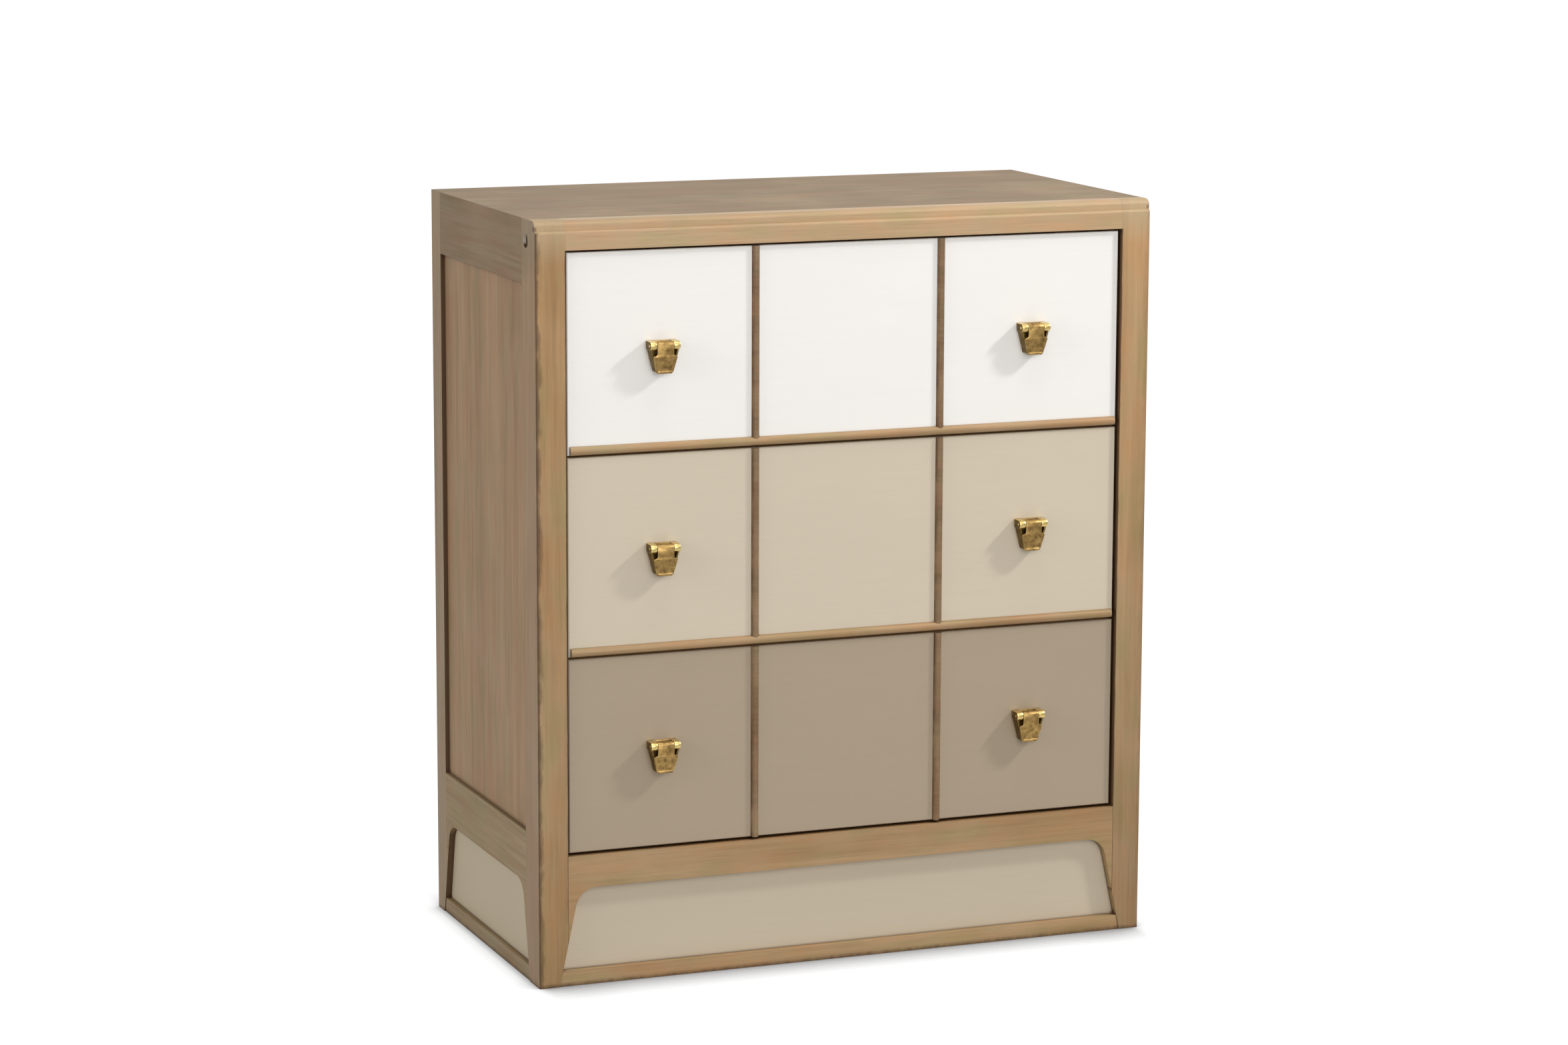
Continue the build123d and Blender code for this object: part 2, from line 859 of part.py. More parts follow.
def tongue_section(start_x, axis_z):
    """Side section of a tongue: a bowed strap with a rolled lip at its tip, in y and z."""
    outer = depth_y(face_setback - pull_axis_stand_off - barrel_radius)
    inner = outer + tongue_thickness
    tip_z = axis_z - tongue_drop
    with BuildSketch(Plane.YZ.offset(start_x)) as section:
        with BuildLine():
            TangentArc((outer, axis_z), (outer + tongue_tip_setback, tip_z), tangent=(0, -1))
            Line((outer + tongue_tip_setback, tip_z), (inner + tongue_tip_setback, tip_z))
            TangentArc((inner, axis_z), (inner + tongue_tip_setback, tip_z), tangent=(0, -1))
            Line((inner, axis_z), (outer, axis_z))
        make_face()
        with Locations((outer + tongue_tip_setback, tip_z + tongue_lip_radius)):
            Circle(tongue_lip_radius)
    return section.sketch


def tongue_outline(middle, axis_z):
    """Front outline of a tongue: a neck between the knuckles, shoulders and a tapered tip."""
    neck = centre_knuckle_length / 2
    shoulder = tongue_shoulder_width / 2
    tip = tongue_tip_width / 2
    shoulder_z = axis_z - tongue_shoulder_drop
    tip_z = axis_z - tongue_drop
    Polygon(
        (middle - neck, axis_z),
        (middle + neck, axis_z),
        (middle + neck, shoulder_z),
        (middle + shoulder, shoulder_z),
        (middle + tip, tip_z),
        (middle - tip, tip_z),
        (middle - shoulder, shoulder_z),
        (middle - neck, shoulder_z),
        align=None,
    )
    ends = vertices().sort_by(Axis.X)
    chamfer(vertices().group_by(Axis.Y)[0] + [ends[0], ends[-1]], tongue_corner_cut)


def make_tongue(drawer, side):
    """Tongue of one pull with its centre knuckle, bored for the pin."""
    axis_z = pull_axis_height(drawer)
    middle = side * pull_offset
    start = middle - tongue_shoulder_width / 2
    knuckle_start = middle - centre_knuckle_length / 2
    with BuildPart() as tongue:
        extrude(tongue_section(start, axis_z), amount=tongue_shoulder_width)
        with BuildSketch(front_plane(face_setback)):
            tongue_outline(middle, axis_z)
        extrude(amount=bracket_depth + overrun, mode=Mode.INTERSECT)
        for radius, mode in ((barrel_radius, Mode.ADD), (bore_radius, Mode.SUBTRACT)):
            with BuildSketch(Plane.YZ.offset(knuckle_start)):
                with Locations((depth_y(face_setback - pull_axis_stand_off), axis_z)):
                    Circle(radius)
            extrude(amount=centre_knuckle_length, mode=mode)
    return tongue.part


def make_drawer(drawer, has_lower_bead):
    """Writes every piece of one drawer and its two pulls."""
    save(make_drawer_front(drawer), f"{drawer}_drawer_front")
    save_pair(make_drawer_side(drawer), drawer + "_drawer_{}_side")
    save(make_drawer_back(drawer), f"{drawer}_drawer_back")
    save(make_drawer_bottom(drawer), f"{drawer}_drawer_bottom")
    lower_bead = make_lower_bead(drawer) if has_lower_bead else None
    if has_lower_bead:
        save(lower_bead, f"{drawer}_drawer_lower_bead")
    save(make_upright_beads(drawer, lower_bead), f"{drawer}_drawer_upright_beads")
    save(make_brackets(drawer), f"{drawer}_drawer_pull_brackets")
    save(make_pins(drawer), f"{drawer}_drawer_pull_pins")
    save(make_screws(drawer), f"{drawer}_drawer_pull_screws")
    for side, name in ((-1, "left"), (1, "right")):
        save(make_tongue(drawer, side), f"{drawer}_drawer_{name}_pull_tongue")


def make_case():
    """Writes every fixed piece of the case."""
    save(make_top_board(), "top_board")
    save_pair(make_front_post(), "front_{}_post")
    save_pair(make_back_post(), "back_{}_post")
    save(make_front_top_rail(), "front_top_rail")
    save(make_front_apron(), "front_apron")
    save(make_back_rail(), "back_rail")
    save_pair(make_side_top_rail(), "{}_top_rail")
    save_pair(make_side_apron(), "{}_apron")
    with BuildPart() as side_panel:
        left_panel_block()
    save_pair(side_panel.part, "{}_side_panel")
    with BuildPart() as back_panel:
        back_panel_block()
    save(back_panel.part, "back_panel")
    with BuildPart() as bottom_board:
        bottom_board_block()
    save(bottom_board.part, "bottom_board")
    panel_low = sole_height
    save(make_front_plinth(panel_low, plinth_height, front_plinth_recess), "front_plinth_panel")
    save_pair(make_side_plinth(panel_low, plinth_height, side_plinth_recess), "{}_plinth_panel")
    save(make_front_plinth(0, sole_height, sole_setback), "front_sole_strip")
    save_pair(make_side_plinth(0, sole_height, sole_setback), "{}_sole_strip")
    save_pair(make_runners(), "{}_runners")
    with BuildPart() as plugs:
        left_plug_disc(plug_radius, plug_sink, plug_sink + plug_thickness)
        mirror(about=Plane.YZ)
    save(plugs.part, "post_plugs")


os.makedirs("parts", exist_ok=True)
make_case()
for drawer_name in drawer_fronts:
    make_drawer(drawer_name, has_lower_bead=drawer_name != "bottom")
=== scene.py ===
"""A chest of three painted drawers in a limed hardwood frame, with brass drop pulls.

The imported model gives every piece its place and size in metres. This script dresses those pieces,
models the brass fittings and screws finely, and sets up a white studio round the chest.
"""

from __future__ import annotations

import json
import logging
import math
from dataclasses import dataclass, field, replace
from enum import Enum
from fnmatch import fnmatch

import bmesh
import bpy
from mathutils import Matrix, Vector

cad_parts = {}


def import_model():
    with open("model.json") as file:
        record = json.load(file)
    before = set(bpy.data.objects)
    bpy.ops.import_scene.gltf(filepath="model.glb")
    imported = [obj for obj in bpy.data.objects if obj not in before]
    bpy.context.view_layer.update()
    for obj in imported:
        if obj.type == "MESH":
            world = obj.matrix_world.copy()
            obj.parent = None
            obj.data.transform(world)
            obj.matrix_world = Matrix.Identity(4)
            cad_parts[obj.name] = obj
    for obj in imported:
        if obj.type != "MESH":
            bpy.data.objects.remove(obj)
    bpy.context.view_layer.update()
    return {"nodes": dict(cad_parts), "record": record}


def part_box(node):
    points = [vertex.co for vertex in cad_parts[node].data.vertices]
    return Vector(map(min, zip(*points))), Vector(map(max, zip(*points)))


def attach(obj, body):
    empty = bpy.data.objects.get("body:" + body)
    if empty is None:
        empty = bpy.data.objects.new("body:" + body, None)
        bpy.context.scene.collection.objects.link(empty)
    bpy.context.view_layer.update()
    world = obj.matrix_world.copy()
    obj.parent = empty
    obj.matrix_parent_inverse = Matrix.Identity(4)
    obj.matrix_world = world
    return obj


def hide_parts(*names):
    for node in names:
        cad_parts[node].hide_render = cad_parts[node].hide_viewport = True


LOG = logging.getLogger("chest")
MM = 0.001
# Vertices closer than this are one
WELD = 0.01 * MM
SMOOTH_ANGLE = math.radians(35)
SHARP_ANGLE = math.radians(50)
# Where the mix node keeps its colours
COLOUR_A, COLOUR_B, COLOUR_OUT = 6, 7, 2
# Range that most of a noise pattern lies in
MIDDLE = (0.3, 0.7)
EVEN = (1.0, 1.0, 1.0)

Socket = bpy.types.NodeSocket
Shape = bmesh.types.BMesh
Range = tuple[float, float]
Triple = tuple[float, float, float]
Colour = tuple[float, float, float, float]


class Grain(Enum):
    """Which way the timber of a piece runs."""

    ALONG_X = 0
    ALONG_Y = 1
    ALONG_Z = 2

    def stretched(self, share: float) -> Triple:
        """Scale of a pattern that is drawn out this way."""
        return tuple(share if axis == self.value else 1.0 for axis in range(3))


class Side(Enum):
    """Left or right of the chest for someone who faces it."""

    LEFT = -1
    RIGHT = 1


@dataclass(frozen=True)
class Tone:
    """A colour as it is written on a paint card, in sRGB from 0 to 255."""

    red: float
    green: float
    blue: float

    def linear(self) -> Colour:
        """The same colour as the shader sockets take it."""
        return tuple(self._channel(c / 255) for c in (self.red, self.green, self.blue)) + (1.0,)

    @staticmethod
    def _channel(value: float) -> float:
        """One sRGB channel as linear light.

        Args:
            value: The channel, from 0 to 1.

        Returns:
            The light, from 0 to 1.
        """
        if value <= 0.04045:
            return value / 12.92
        return ((value + 0.055) / 1.055) ** 2.4


class Graph:
    """A node tree with short calls for the nodes that the finishes and the studio share."""

    def __init__(self, tree: bpy.types.NodeTree) -> None:
        """Empties a tree and takes it over.

        Args:
            tree: Tree of a material or of the world.
        """
        tree.nodes.clear()
        self.tree = tree

    def link(self, source: Socket, target: Socket) -> None:
        """Joins two sockets."""
        self.tree.links.new(source, target)

    def feed(self, value: object, target: Socket) -> None:
        """Gives a socket something to follow or to hold.

        Args:
            value: Another socket, a tone or a fixed value.
            target: Socket that gets it.
        """
        if isinstance(value, Socket):
            self.link(value, target)
        else:
            target.default_value = value.linear() if isinstance(value, Tone) else value

    def node(self, kind: str, **inputs: object) -> bpy.types.Node:
        """Adds a node.

        Args:
            kind: Its type, without the prefix that all types share.
            **inputs: What its inputs get, under their names with _ for a space.

        Returns:
            The new node.
        """
        node = self.tree.nodes.new(f"ShaderNode{kind}")
        for name, value in inputs.items():
            self.feed(value, node.inputs[name.replace("_", " ")])
        return node

    def parts(self, coordinates: str) -> tuple[Socket, Socket, Socket]:
        """The x, y and z of one kind of coordinates."""
        split = self.node("SeparateXYZ", Vector=self.node("TexCoord").outputs[coordinates])
        return split.outputs["X"], split.outputs["Y"], split.outputs["Z"]

    def spread(self, value: Socket, source: Range, target: Range = (0.0, 1.0)) -> Socket:
        """Maps a range of values onto another range, and holds the ends.

        Args:
            value: Factor to map.
            source: Range that it comes in.
            target: Range that it leaves in.

        Returns:
            The mapped factor.
        """
        node = self.node(
            "MapRange", Value=value, From_Min=source[0], From_Max=source[1], To_Min=target[0],
            To_Max=target[1],
        )
        return node.outputs["Result"]

    def maths(self, operation: str, first: object, second: object = 0.0) -> Socket:
        """One sum on two factors, each a socket or a number.

        Args:
            operation: Kind of sum.
            first: First factor.
            second: Second factor, where the sum has one.

        Returns:
            The result.
        """
        node = self.node("Math")
        node.operation = operation
        self.feed(first, node.inputs[0])
        self.feed(second, node.inputs[1])
        return node.outputs["Value"]

    def times(self, first: object, second: object) -> Socket:
        """The product of two factors."""
        return self.maths("MULTIPLY", first, second)

    def choose(self, factor: object, first: object, second: object) -> Socket:
        """Goes from the first factor to the second as the choosing one goes from 0 to 1."""
        return self.node("Mix", Factor=factor, A=first, B=second).outputs["Result"]

    def mix(self, factor: object, first: object, second: object, blend: str = "MIX") -> Socket:
        """Blends two colours.

        Args:
            factor: Share of the second colour.
            first: Colour at a factor of 0.
            second: Colour at a factor of 1.
            blend: How the second colour acts on the first.

        Returns:
            The blended colour.
        """
        node = self.node("Mix")
        node.data_type = "RGBA"
        node.blend_type = blend
        self.feed(factor, node.inputs["Factor"])
        self.feed(first, node.inputs[COLOUR_A])
        self.feed(second, node.inputs[COLOUR_B])
        return node.outputs[COLOUR_OUT]


class Shader(Graph):
    """A material with a principled surface."""

    def __init__(self, name: str) -> None:
        """Starts the material.

        Args:
            name: Name of the new material.
        """
        self.material = bpy.data.materials.new(name)
        self.material.use_nodes = True
        super().__init__(self.material.node_tree)
        self.surface = self.node("BsdfPrincipled")
        self.output = self.node("OutputMaterial", Surface=self.surface.outputs["BSDF"])

    def coordinates(self, scale: Triple, shift: float) -> Socket:
        """Object coordinates, stretched for a pattern and moved so that pieces differ.

        Args:
            scale: How far each axis is stretched.
            shift: How far the pattern is moved along every axis, in metres.

        Returns:
            The vector socket that a texture reads.
        """
        place = self.node("TexCoord").outputs["Object"]
        mapping = self.node("Mapping", Vector=place, Location=(shift, shift, shift), Scale=scale)
        return mapping.outputs["Vector"]

    def noise(
        self, vector: Socket, scale: float, detail: float, rough: float = 0.5, bend: float = 0.0
    ) -> Socket:
        """A noise pattern.

        Args:
            vector: Coordinates that it reads.
            scale: Features in a metre.
            detail: Octaves of finer noise.
            rough: Weight of the finer octaves.
            bend: How far the pattern is distorted.

        Returns:
            The factor socket, about 0.5 on average.
        """
        node = self.node(
            "TexNoise", Vector=vector, Scale=scale, Detail=detail, Roughness=rough, Distortion=bend
        )
        return node.outputs["Fac"]

    def recess(self, reach: float) -> Socket:
        """How deep in a corner a point lies, from 0 in the open to 1.

        Args:
            reach: Distance within which other surfaces count, in metres.

        Returns:
            The factor socket.
        """
        node = self.node("AmbientOcclusion", Distance=reach)
        node.samples = 8
        return self.maths("SUBTRACT", 1.0, node.outputs["AO"])

    def arris(self, radius: float) -> Socket:
        """How near an edge of its own piece a point lies, from 0 on the flat.

        Args:
            radius: Width of the band along the edge, in metres.

        Returns:
            The factor socket.
        """
        bevel = self.node("Bevel", Radius=radius)
        bevel.samples = 4
        turn = self.node("VectorMath")
        turn.operation = "DOT_PRODUCT"
        self.link(bevel.outputs["Normal"], turn.inputs[0])
        self.link(self.node("NewGeometry").outputs["Normal"], turn.inputs[1])
        return self.spread(turn.outputs["Value"], (1.0, 0.8))

    def coat(self, colour: Socket, pattern: Socket, rough: Range) -> None:
        """Gives the surface its colour and its uneven gloss.

        Args:
            colour: Colour of the surface.
            pattern: Noise that the gloss follows.
            rough: Roughness where the noise is low and where it is high.
        """
        self.link(colour, self.surface.inputs["Base Color"])
        self.link(self.spread(pattern, MIDDLE, rough), self.surface.inputs["Roughness"])

    def bump(self, height: Socket, depth: float, strength: float) -> None:
        """Raises the surface by a pattern.

        Args:
            height: Pattern that is high at 1.
            depth: Height of the pattern, in metres.
            strength: Share of the effect that is used.
        """
        node = self.node("Bump", Height=height, Distance=depth, Strength=strength)
        self.link(node.outputs["Normal"], self.surface.inputs["Normal"])


@dataclass(frozen=True)
class LimedWood:
    """Limed hardwood under a satin varnish, with brown glaze wiped along edges and, partly as painted
    shade, into corners.
    """

    light: Tone = Tone(177, 143, 101)
    dark: Tone = Tone(157, 123, 82)
    lime: Tone = Tone(188, 164, 130)
    glaze_and_shade: Tone = Tone(74, 46, 18)
    outer_face_shaded: Tone = Tone(152, 127, 104)
    outer_head_shaded: Tone = Tone(99, 86, 70)
    crown_light: Tone = Tone(195, 175, 142)
    lit_bore: Tone = Tone(244, 230, 210)
    blush: Colour = (1.05, 0.96, 0.91, 1.0)
    olive: Colour = (0.88, 0.98, 0.88, 1.0)
    stretch: float = 0.035
    broad_scale: float = 26.0
    streak_scale: float = 190.0
    streak_share: float = 0.38
    pore_scale: float = 950.0
    pore_share: float = 0.22
    pore_depth: float = 0.2 * MM
    patch_scale: float = 7.0
    patch_share: float = 0.35
    mottle_scale: float = 38.0
    mottle_stretch: float = 0.3
    gloss_rough: float = 0.42
    # Painted light: brightness of a piece towards its front, its foot and its head, as the lamps fall
    # off
    fore_share: float = 1.0
    foot_share: float = 1.0
    head_share: float = 1.0
    # Glaze, darkening near the floor, and painted shade: their shares and where they lie
    wear_scale: float = 75.0
    edge_glaze: float = 0.22
    edge_width: float = 1.2 * MM
    floor_darkening: float = 0.65
    floor_band: Range = (1.5 * MM, 7 * MM)
    hollow_glaze_and_shade: float = 0.85
    hollow_reach: float = 9 * MM
    ceiling: float = 1.0065
    wall_shade: float = 0.0
    root_shade: float = 0.0
    root_band: Range = (4.8 * MM, 1.8 * MM)
    # Front posts only
    corner_glaze: float = 0.0
    corner_width: float = 9 * MM
    corner_return: float = 3.0
    ragged: Range = (0.35, 1.3)
    inner_glaze_and_shade: float = 0.8
    inner_band: Range = (0.3 * MM, 1.8 * MM)
    crown_drop: Range = (60 * MM, 12 * MM)
    crown_light_share: float = 0.5
    shade_drop: Range = (90 * MM, 45 * MM)
    outer_shade_share: float = 0.45
    outer_band: Range = (0.1 * MM, 1.0 * MM)
    cove_shadow_share: float = 0.9
    cove_setback: float = 7 * MM
    cove_rise: float = 18 * MM
    cove_radii: Range = (1.5 * MM, 5.0 * MM)
    cove_depth: Range = (2.5 * MM, 4.5 * MM)
    bore_gap: float = 0.5 * MM
    bore_shade: float = 0.95
    bore_shade_level: Range = (0.6, 0.2)

    def material(self, piece: str, grain: Grain, shift: float) -> bpy.types.Material:
        """Makes the finish for one piece.

        Args:
            piece: Name of the piece.
            grain: Which way the timber runs.
            shift: Where in the plank the piece was cut, in metres.

        Returns:
            The new material.
        """
        shader = Shader(f"limed_{piece}")
        along = shader.coordinates(grain.stretched(self.stretch), shift)
        broad = shader.noise(along, self.broad_scale, 3.0, 0.5, 0.6)
        streak = shader.noise(along, self.streak_scale, 3.0, 0.55)
        figure = shader.choose(self.streak_share, broad, streak)
        colour = shader.mix(shader.spread(figure, (0.36, 0.64)), self.light, self.dark)
        patch = shader.noise(shader.coordinates(EVEN, shift), self.patch_scale, 3.0)
        limed = shader.spread(patch, (0.45, 0.75), (0.0, self.patch_share))
        colour = shader.mix(limed, colour, self.lime)
        slow = shader.coordinates(grain.stretched(self.mottle_stretch), shift + 1.5)
        mottle = shader.noise(slow, self.mottle_scale, 3.0, 0.6)
        for tint, band in ((self.blush, (0.52, 0.68)), (self.olive, (0.52, 0.32))):
            colour = shader.mix(shader.spread(mottle, band), colour, tint, "MULTIPLY")
        _, y, z = shader.parts("Object")
        # Painted light: lighter towards the lamps and darker away from them
        painted_falloff = []
        if self.fore_share != 1.0:
            painted_falloff.append(shader.spread(y, (-0.2, 0.2), (self.fore_share, 2.0 - self.fore_share)))
        if self.foot_share != self.head_share:
            painted_falloff.append(shader.spread(z, (0.1, 1.0), (self.foot_share, self.head_share)))
        for fade in painted_falloff:
            colour = shader.mix(1.0, colour, fade, "MULTIPLY")
        fine = shader.coordinates(grain.stretched(self.stretch / 3), shift + 0.5)
        pore = shader.noise(fine, self.pore_scale, 2.0)
        pores = shader.spread(pore, (0.56, 0.74), (0.0, self.pore_share))
        colour = shader.mix(pores, colour, self.glaze_and_shade)
        colour = self.glazed_and_shaded(shader, colour, piece, shift)
        shader.coat(colour, streak, (self.gloss_rough - 0.05, self.gloss_rough + 0.08))
        shader.bump(shader.maths("SUBTRACT", 1.0, pores), self.pore_depth, 0.3)
        return shader.material

    def glazed_and_shaded(self, shader: Shader, colour: Socket, piece: str, shift: float) -> Socket:
        """Lays the brown glaze along edges, darkens the wood near the floor, and paints shade in the
        glaze's colour on front-facing faces, at bead roots and, with the glaze, in recesses.

        Args:
            shader: Tree that the finish is made in.
            colour: Colour of the wood under the glaze.
            piece: Name of the piece.
            shift: Where in the plank the piece was cut, in metres.

        Returns:
            The glazed colour.
        """
        _, y, z = shader.parts("Object")
        uneven = shader.noise(
            shader.coordinates((1.0, 1.0, 0.35), shift), self.wear_scale, 3.0, 0.6
        )
        worn = shader.spread(uneven, (0.35, 0.65), (0.1, 1.0))
        edge = shader.times(shader.arris(self.edge_width), shader.times(worn, self.edge_glaze))
        colour = shader.mix(edge, colour, self.glaze_and_shade)
        # Darker along the last few millimetres above the floor
        near_floor = shader.spread(z, self.floor_band, (self.floor_darkening, 0.0))
        colour = shader.mix(shader.times(near_floor, worn), colour, self.glaze_and_shade)
        if self.corner_glaze > 0:
            colour = self.post_glazed_and_shaded(shader, colour, uneven)
        # Painted shade on faces that face the front
        if self.wall_shade > 0:
            front = shader.parts("Normal")[1]
            wall = shader.spread(front, (-0.6, -0.9), (0.0, self.wall_shade))
            colour = shader.mix(wall, colour, self.glaze_and_shade)
        # Painted shade at the root of a bead, where it meets the face
        if self.root_shade > 0:
            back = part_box(piece)[1].y
            band = tuple(back - step for step in self.root_band)
            root = shader.spread(y, band, (0.0, self.root_shade))
            colour = shader.mix(shader.times(root, worn), colour, self.glaze_and_shade)
        # Glaze and painted shade in recesses, by occlusion, kept faint above the top rail's lower edge
        deep = shader.recess(self.hollow_reach)
        hollow = shader.spread(deep, (0.14, 0.55), (0.0, self.hollow_glaze_and_shade))
        return shader.mix(
            shader.times(hollow, self.under_rail(shader, z, 0.15)), colour, self.glaze_and_shade
        )

    def under_rail(self, shader: Shader, height: Socket, rest: float) -> Socket:
        """1 up to the front top rail's lower edge, and the share of a darkening that is left above it.
        """
        return shader.spread(height, (self.ceiling - MM, self.ceiling), (1.0, rest))

    def post_glazed_and_shaded(self, shader: Shader, colour: Socket, uneven: Socket) -> Socket:
        """Rubs glaze along a front post's outer corner and inner edge, paints shade on its inner face
        and its outer side face, and paints light on its head.

        Args:
            shader: Tree that the finish is made in.
            colour: Colour of the wood under the glaze.
            uneven: Pattern that makes the bands ragged.

        Returns:
            The glazed colour.
        """
        x, y, z = shader.parts("Object")
        low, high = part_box("front_left_post")
        across = shader.maths("ABSOLUTE", x)
        from_side = shader.maths("SUBTRACT", -low.x, across)
        crown_light, shade = (
            tuple(high.z - drop for drop in drops) for drops in (self.crown_drop, self.shade_drop)
        )
        # Painted light: the head grows lighter towards its top
        colour = shader.mix(shader.spread(z, crown_light, (0.0, self.crown_light_share)), colour, self.crown_light)
        # Painted shade and sheen: the outer side face is greyed, and darker towards the head
        outer = shader.mix(shader.spread(z, shade), self.outer_face_shaded, self.outer_head_shaded)
        side_shaded = shader.spread(from_side, self.outer_band, (self.outer_shade_share, 0.0))
        colour = shader.mix(side_shaded, colour, outer)
        width = shader.spread(uneven, MIDDLE, self.ragged)
        from_front = shader.times(shader.maths("SUBTRACT", y, low.y), self.corner_return)
        reach = shader.maths("DIVIDE", shader.maths("MAXIMUM", from_side, from_front), width)
        ends = (self.corner_width * 0.15, self.corner_width)
        colour = shader.mix(
            shader.spread(reach, ends, (self.corner_glaze, 0.0)), colour, self.glaze_and_shade
        )
        # Glaze along the inner edge, and painted shade on the inner face beside the drawers
        inward = shader.maths("DIVIDE", shader.maths("ADD", across, high.x), width)
        line = shader.spread(inward, self.inner_band, (self.inner_glaze_and_shade, 0.0))
        line = shader.times(line, self.under_rail(shader, z, 0.1))
        colour = shader.mix(line, colour, self.glaze_and_shade)
        return self.cove_shadow_and_bore(shader, colour, from_side, (y, z))

    def cove_shadow_and_bore(
        self, shader: Shader, colour: Socket, from_side: Socket, place: tuple[Socket, Socket]
    ) -> Socket:
        """Adds a painted shadow by the nose on a front post's side, and the bore of its plug in painted
        light and shade.

        Args:
            shader: Tree that the finish is made in.
            colour: Colour of the post.
            from_side: Distance from the post's outer face.
            place: The point's y and z.

        Returns:
            The colour with knot and bore.
        """
        low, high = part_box("post_plugs")
        height = (low.z + high.z) / 2
        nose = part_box("front_left_post")[0].y
        # Painted shadow: a dark spot on the side face, where the nose's cove would shade it
        cove_spot = self.from_axis(
            shader, place, (nose + self.cove_setback, height + self.cove_rise)
        )
        cove_shade = shader.spread(cove_spot, tuple(r * r for r in self.cove_radii), (self.cove_shadow_share, 0.0))
        outside = shader.spread(from_side, self.cove_depth, (1.0, 0.0))
        colour = shader.mix(shader.times(cove_shade, outside), colour, self.glaze_and_shade)
        # Painted light and shade in the plug's bore: its wall pale as if lit, and darker towards its
        # bottom
        radius = (high.z - low.z) / 2 + self.bore_gap
        off_axis = self.from_axis(shader, place, ((low.y + high.y) / 2, height))
        inside = shader.maths("LESS_THAN", off_axis, radius * radius)
        sunk = shader.maths("GREATER_THAN", from_side, self.outer_band[0])
        level = tuple(height - share * radius for share in self.bore_shade_level)
        bore_shaded = shader.spread(place[1], level, (self.bore_shade, 0.0))
        lit_bore = shader.mix(bore_shaded, self.lit_bore, self.glaze_and_shade)
        return shader.mix(shader.times(inside, sunk), colour, lit_bore)

    @staticmethod
    def from_axis(shader: Shader, place: tuple[Socket, Socket], axis: Range) -> Socket:
        """Square of the distance from a level axis that runs across the chest.

        Args:
            shader: Tree that the finish is made in.
            place: The point's y and z.
            axis: The axis's y and z, in metres.

        Returns:
            The squared distance, in square metres.
        """
        squares = []
        for value, middle in zip(place, axis):
            off = shader.maths("ABSOLUTE", shader.maths("SUBTRACT", value, middle))
            squares.append(shader.maths("POWER", off, 2.0))
        return shader.maths("ADD", *squares)


@dataclass(frozen=True)
class PlainTimber:
    """Pale hardwood or plywood under a clear matt coat, for boxes and boards that seldom show."""

    light: Tone = Tone(214, 184, 143)
    dark: Tone = Tone(196, 162, 118)
    recess_tone: Tone = Tone(110, 84, 56)
    recess_share: float = 0.45
    recess_reach: float = 12 * MM
    stretch: float = 0.04
    gloss_rough: float = 0.55
    figure_scale: float = 30.0
    streak_scale: float = 260.0
    streak_share: float = 0.4
    rough_scale: float = 40.0

    def colour(self, shader: Shader, grain: Grain, shift: float) -> Socket:
        """The timber's colour, for a finish that shows it in part.

        Args:
            shader: Tree that the finish is made in.
            grain: Which way the timber runs.
            shift: Where in the plank the piece was cut, in metres.

        Returns:
            The colour socket.
        """
        along = shader.coordinates(grain.stretched(self.stretch), shift)
        broad = shader.noise(along, self.figure_scale, 3.0, 0.5, 0.5)
        streak = shader.noise(along, self.streak_scale, 3.0, 0.6)
        figure = shader.choose(self.streak_share, broad, streak)
        return shader.mix(shader.spread(figure, (0.35, 0.65)), self.light, self.dark)

    def material(self, name: str, grain: Grain, shift: float) -> bpy.types.Material:
        """Makes the finish for one piece.

        Args:
            name: Name of the material.
            grain: Which way the timber runs.
            shift: Where in the plank the piece was cut, in metres.

        Returns:
            The new material.
        """
        shader = Shader(name)
        colour = self.colour(shader, grain, shift)
        # Darker in recesses, by occlusion
        deep = shader.recess(self.recess_reach)
        recessed = shader.spread(deep, (0.2, 0.7), (0.0, self.recess_share))
        rough = shader.noise(shader.coordinates(EVEN, shift), self.rough_scale, 3.0)
        shader.coat(
            shader.mix(recessed, colour, self.recess_tone), rough,
            (self.gloss_rough - 0.06, self.gloss_rough + 0.06),
        )
        shader.bump(rough, 0.1 * MM, 0.2)
        return shader.material


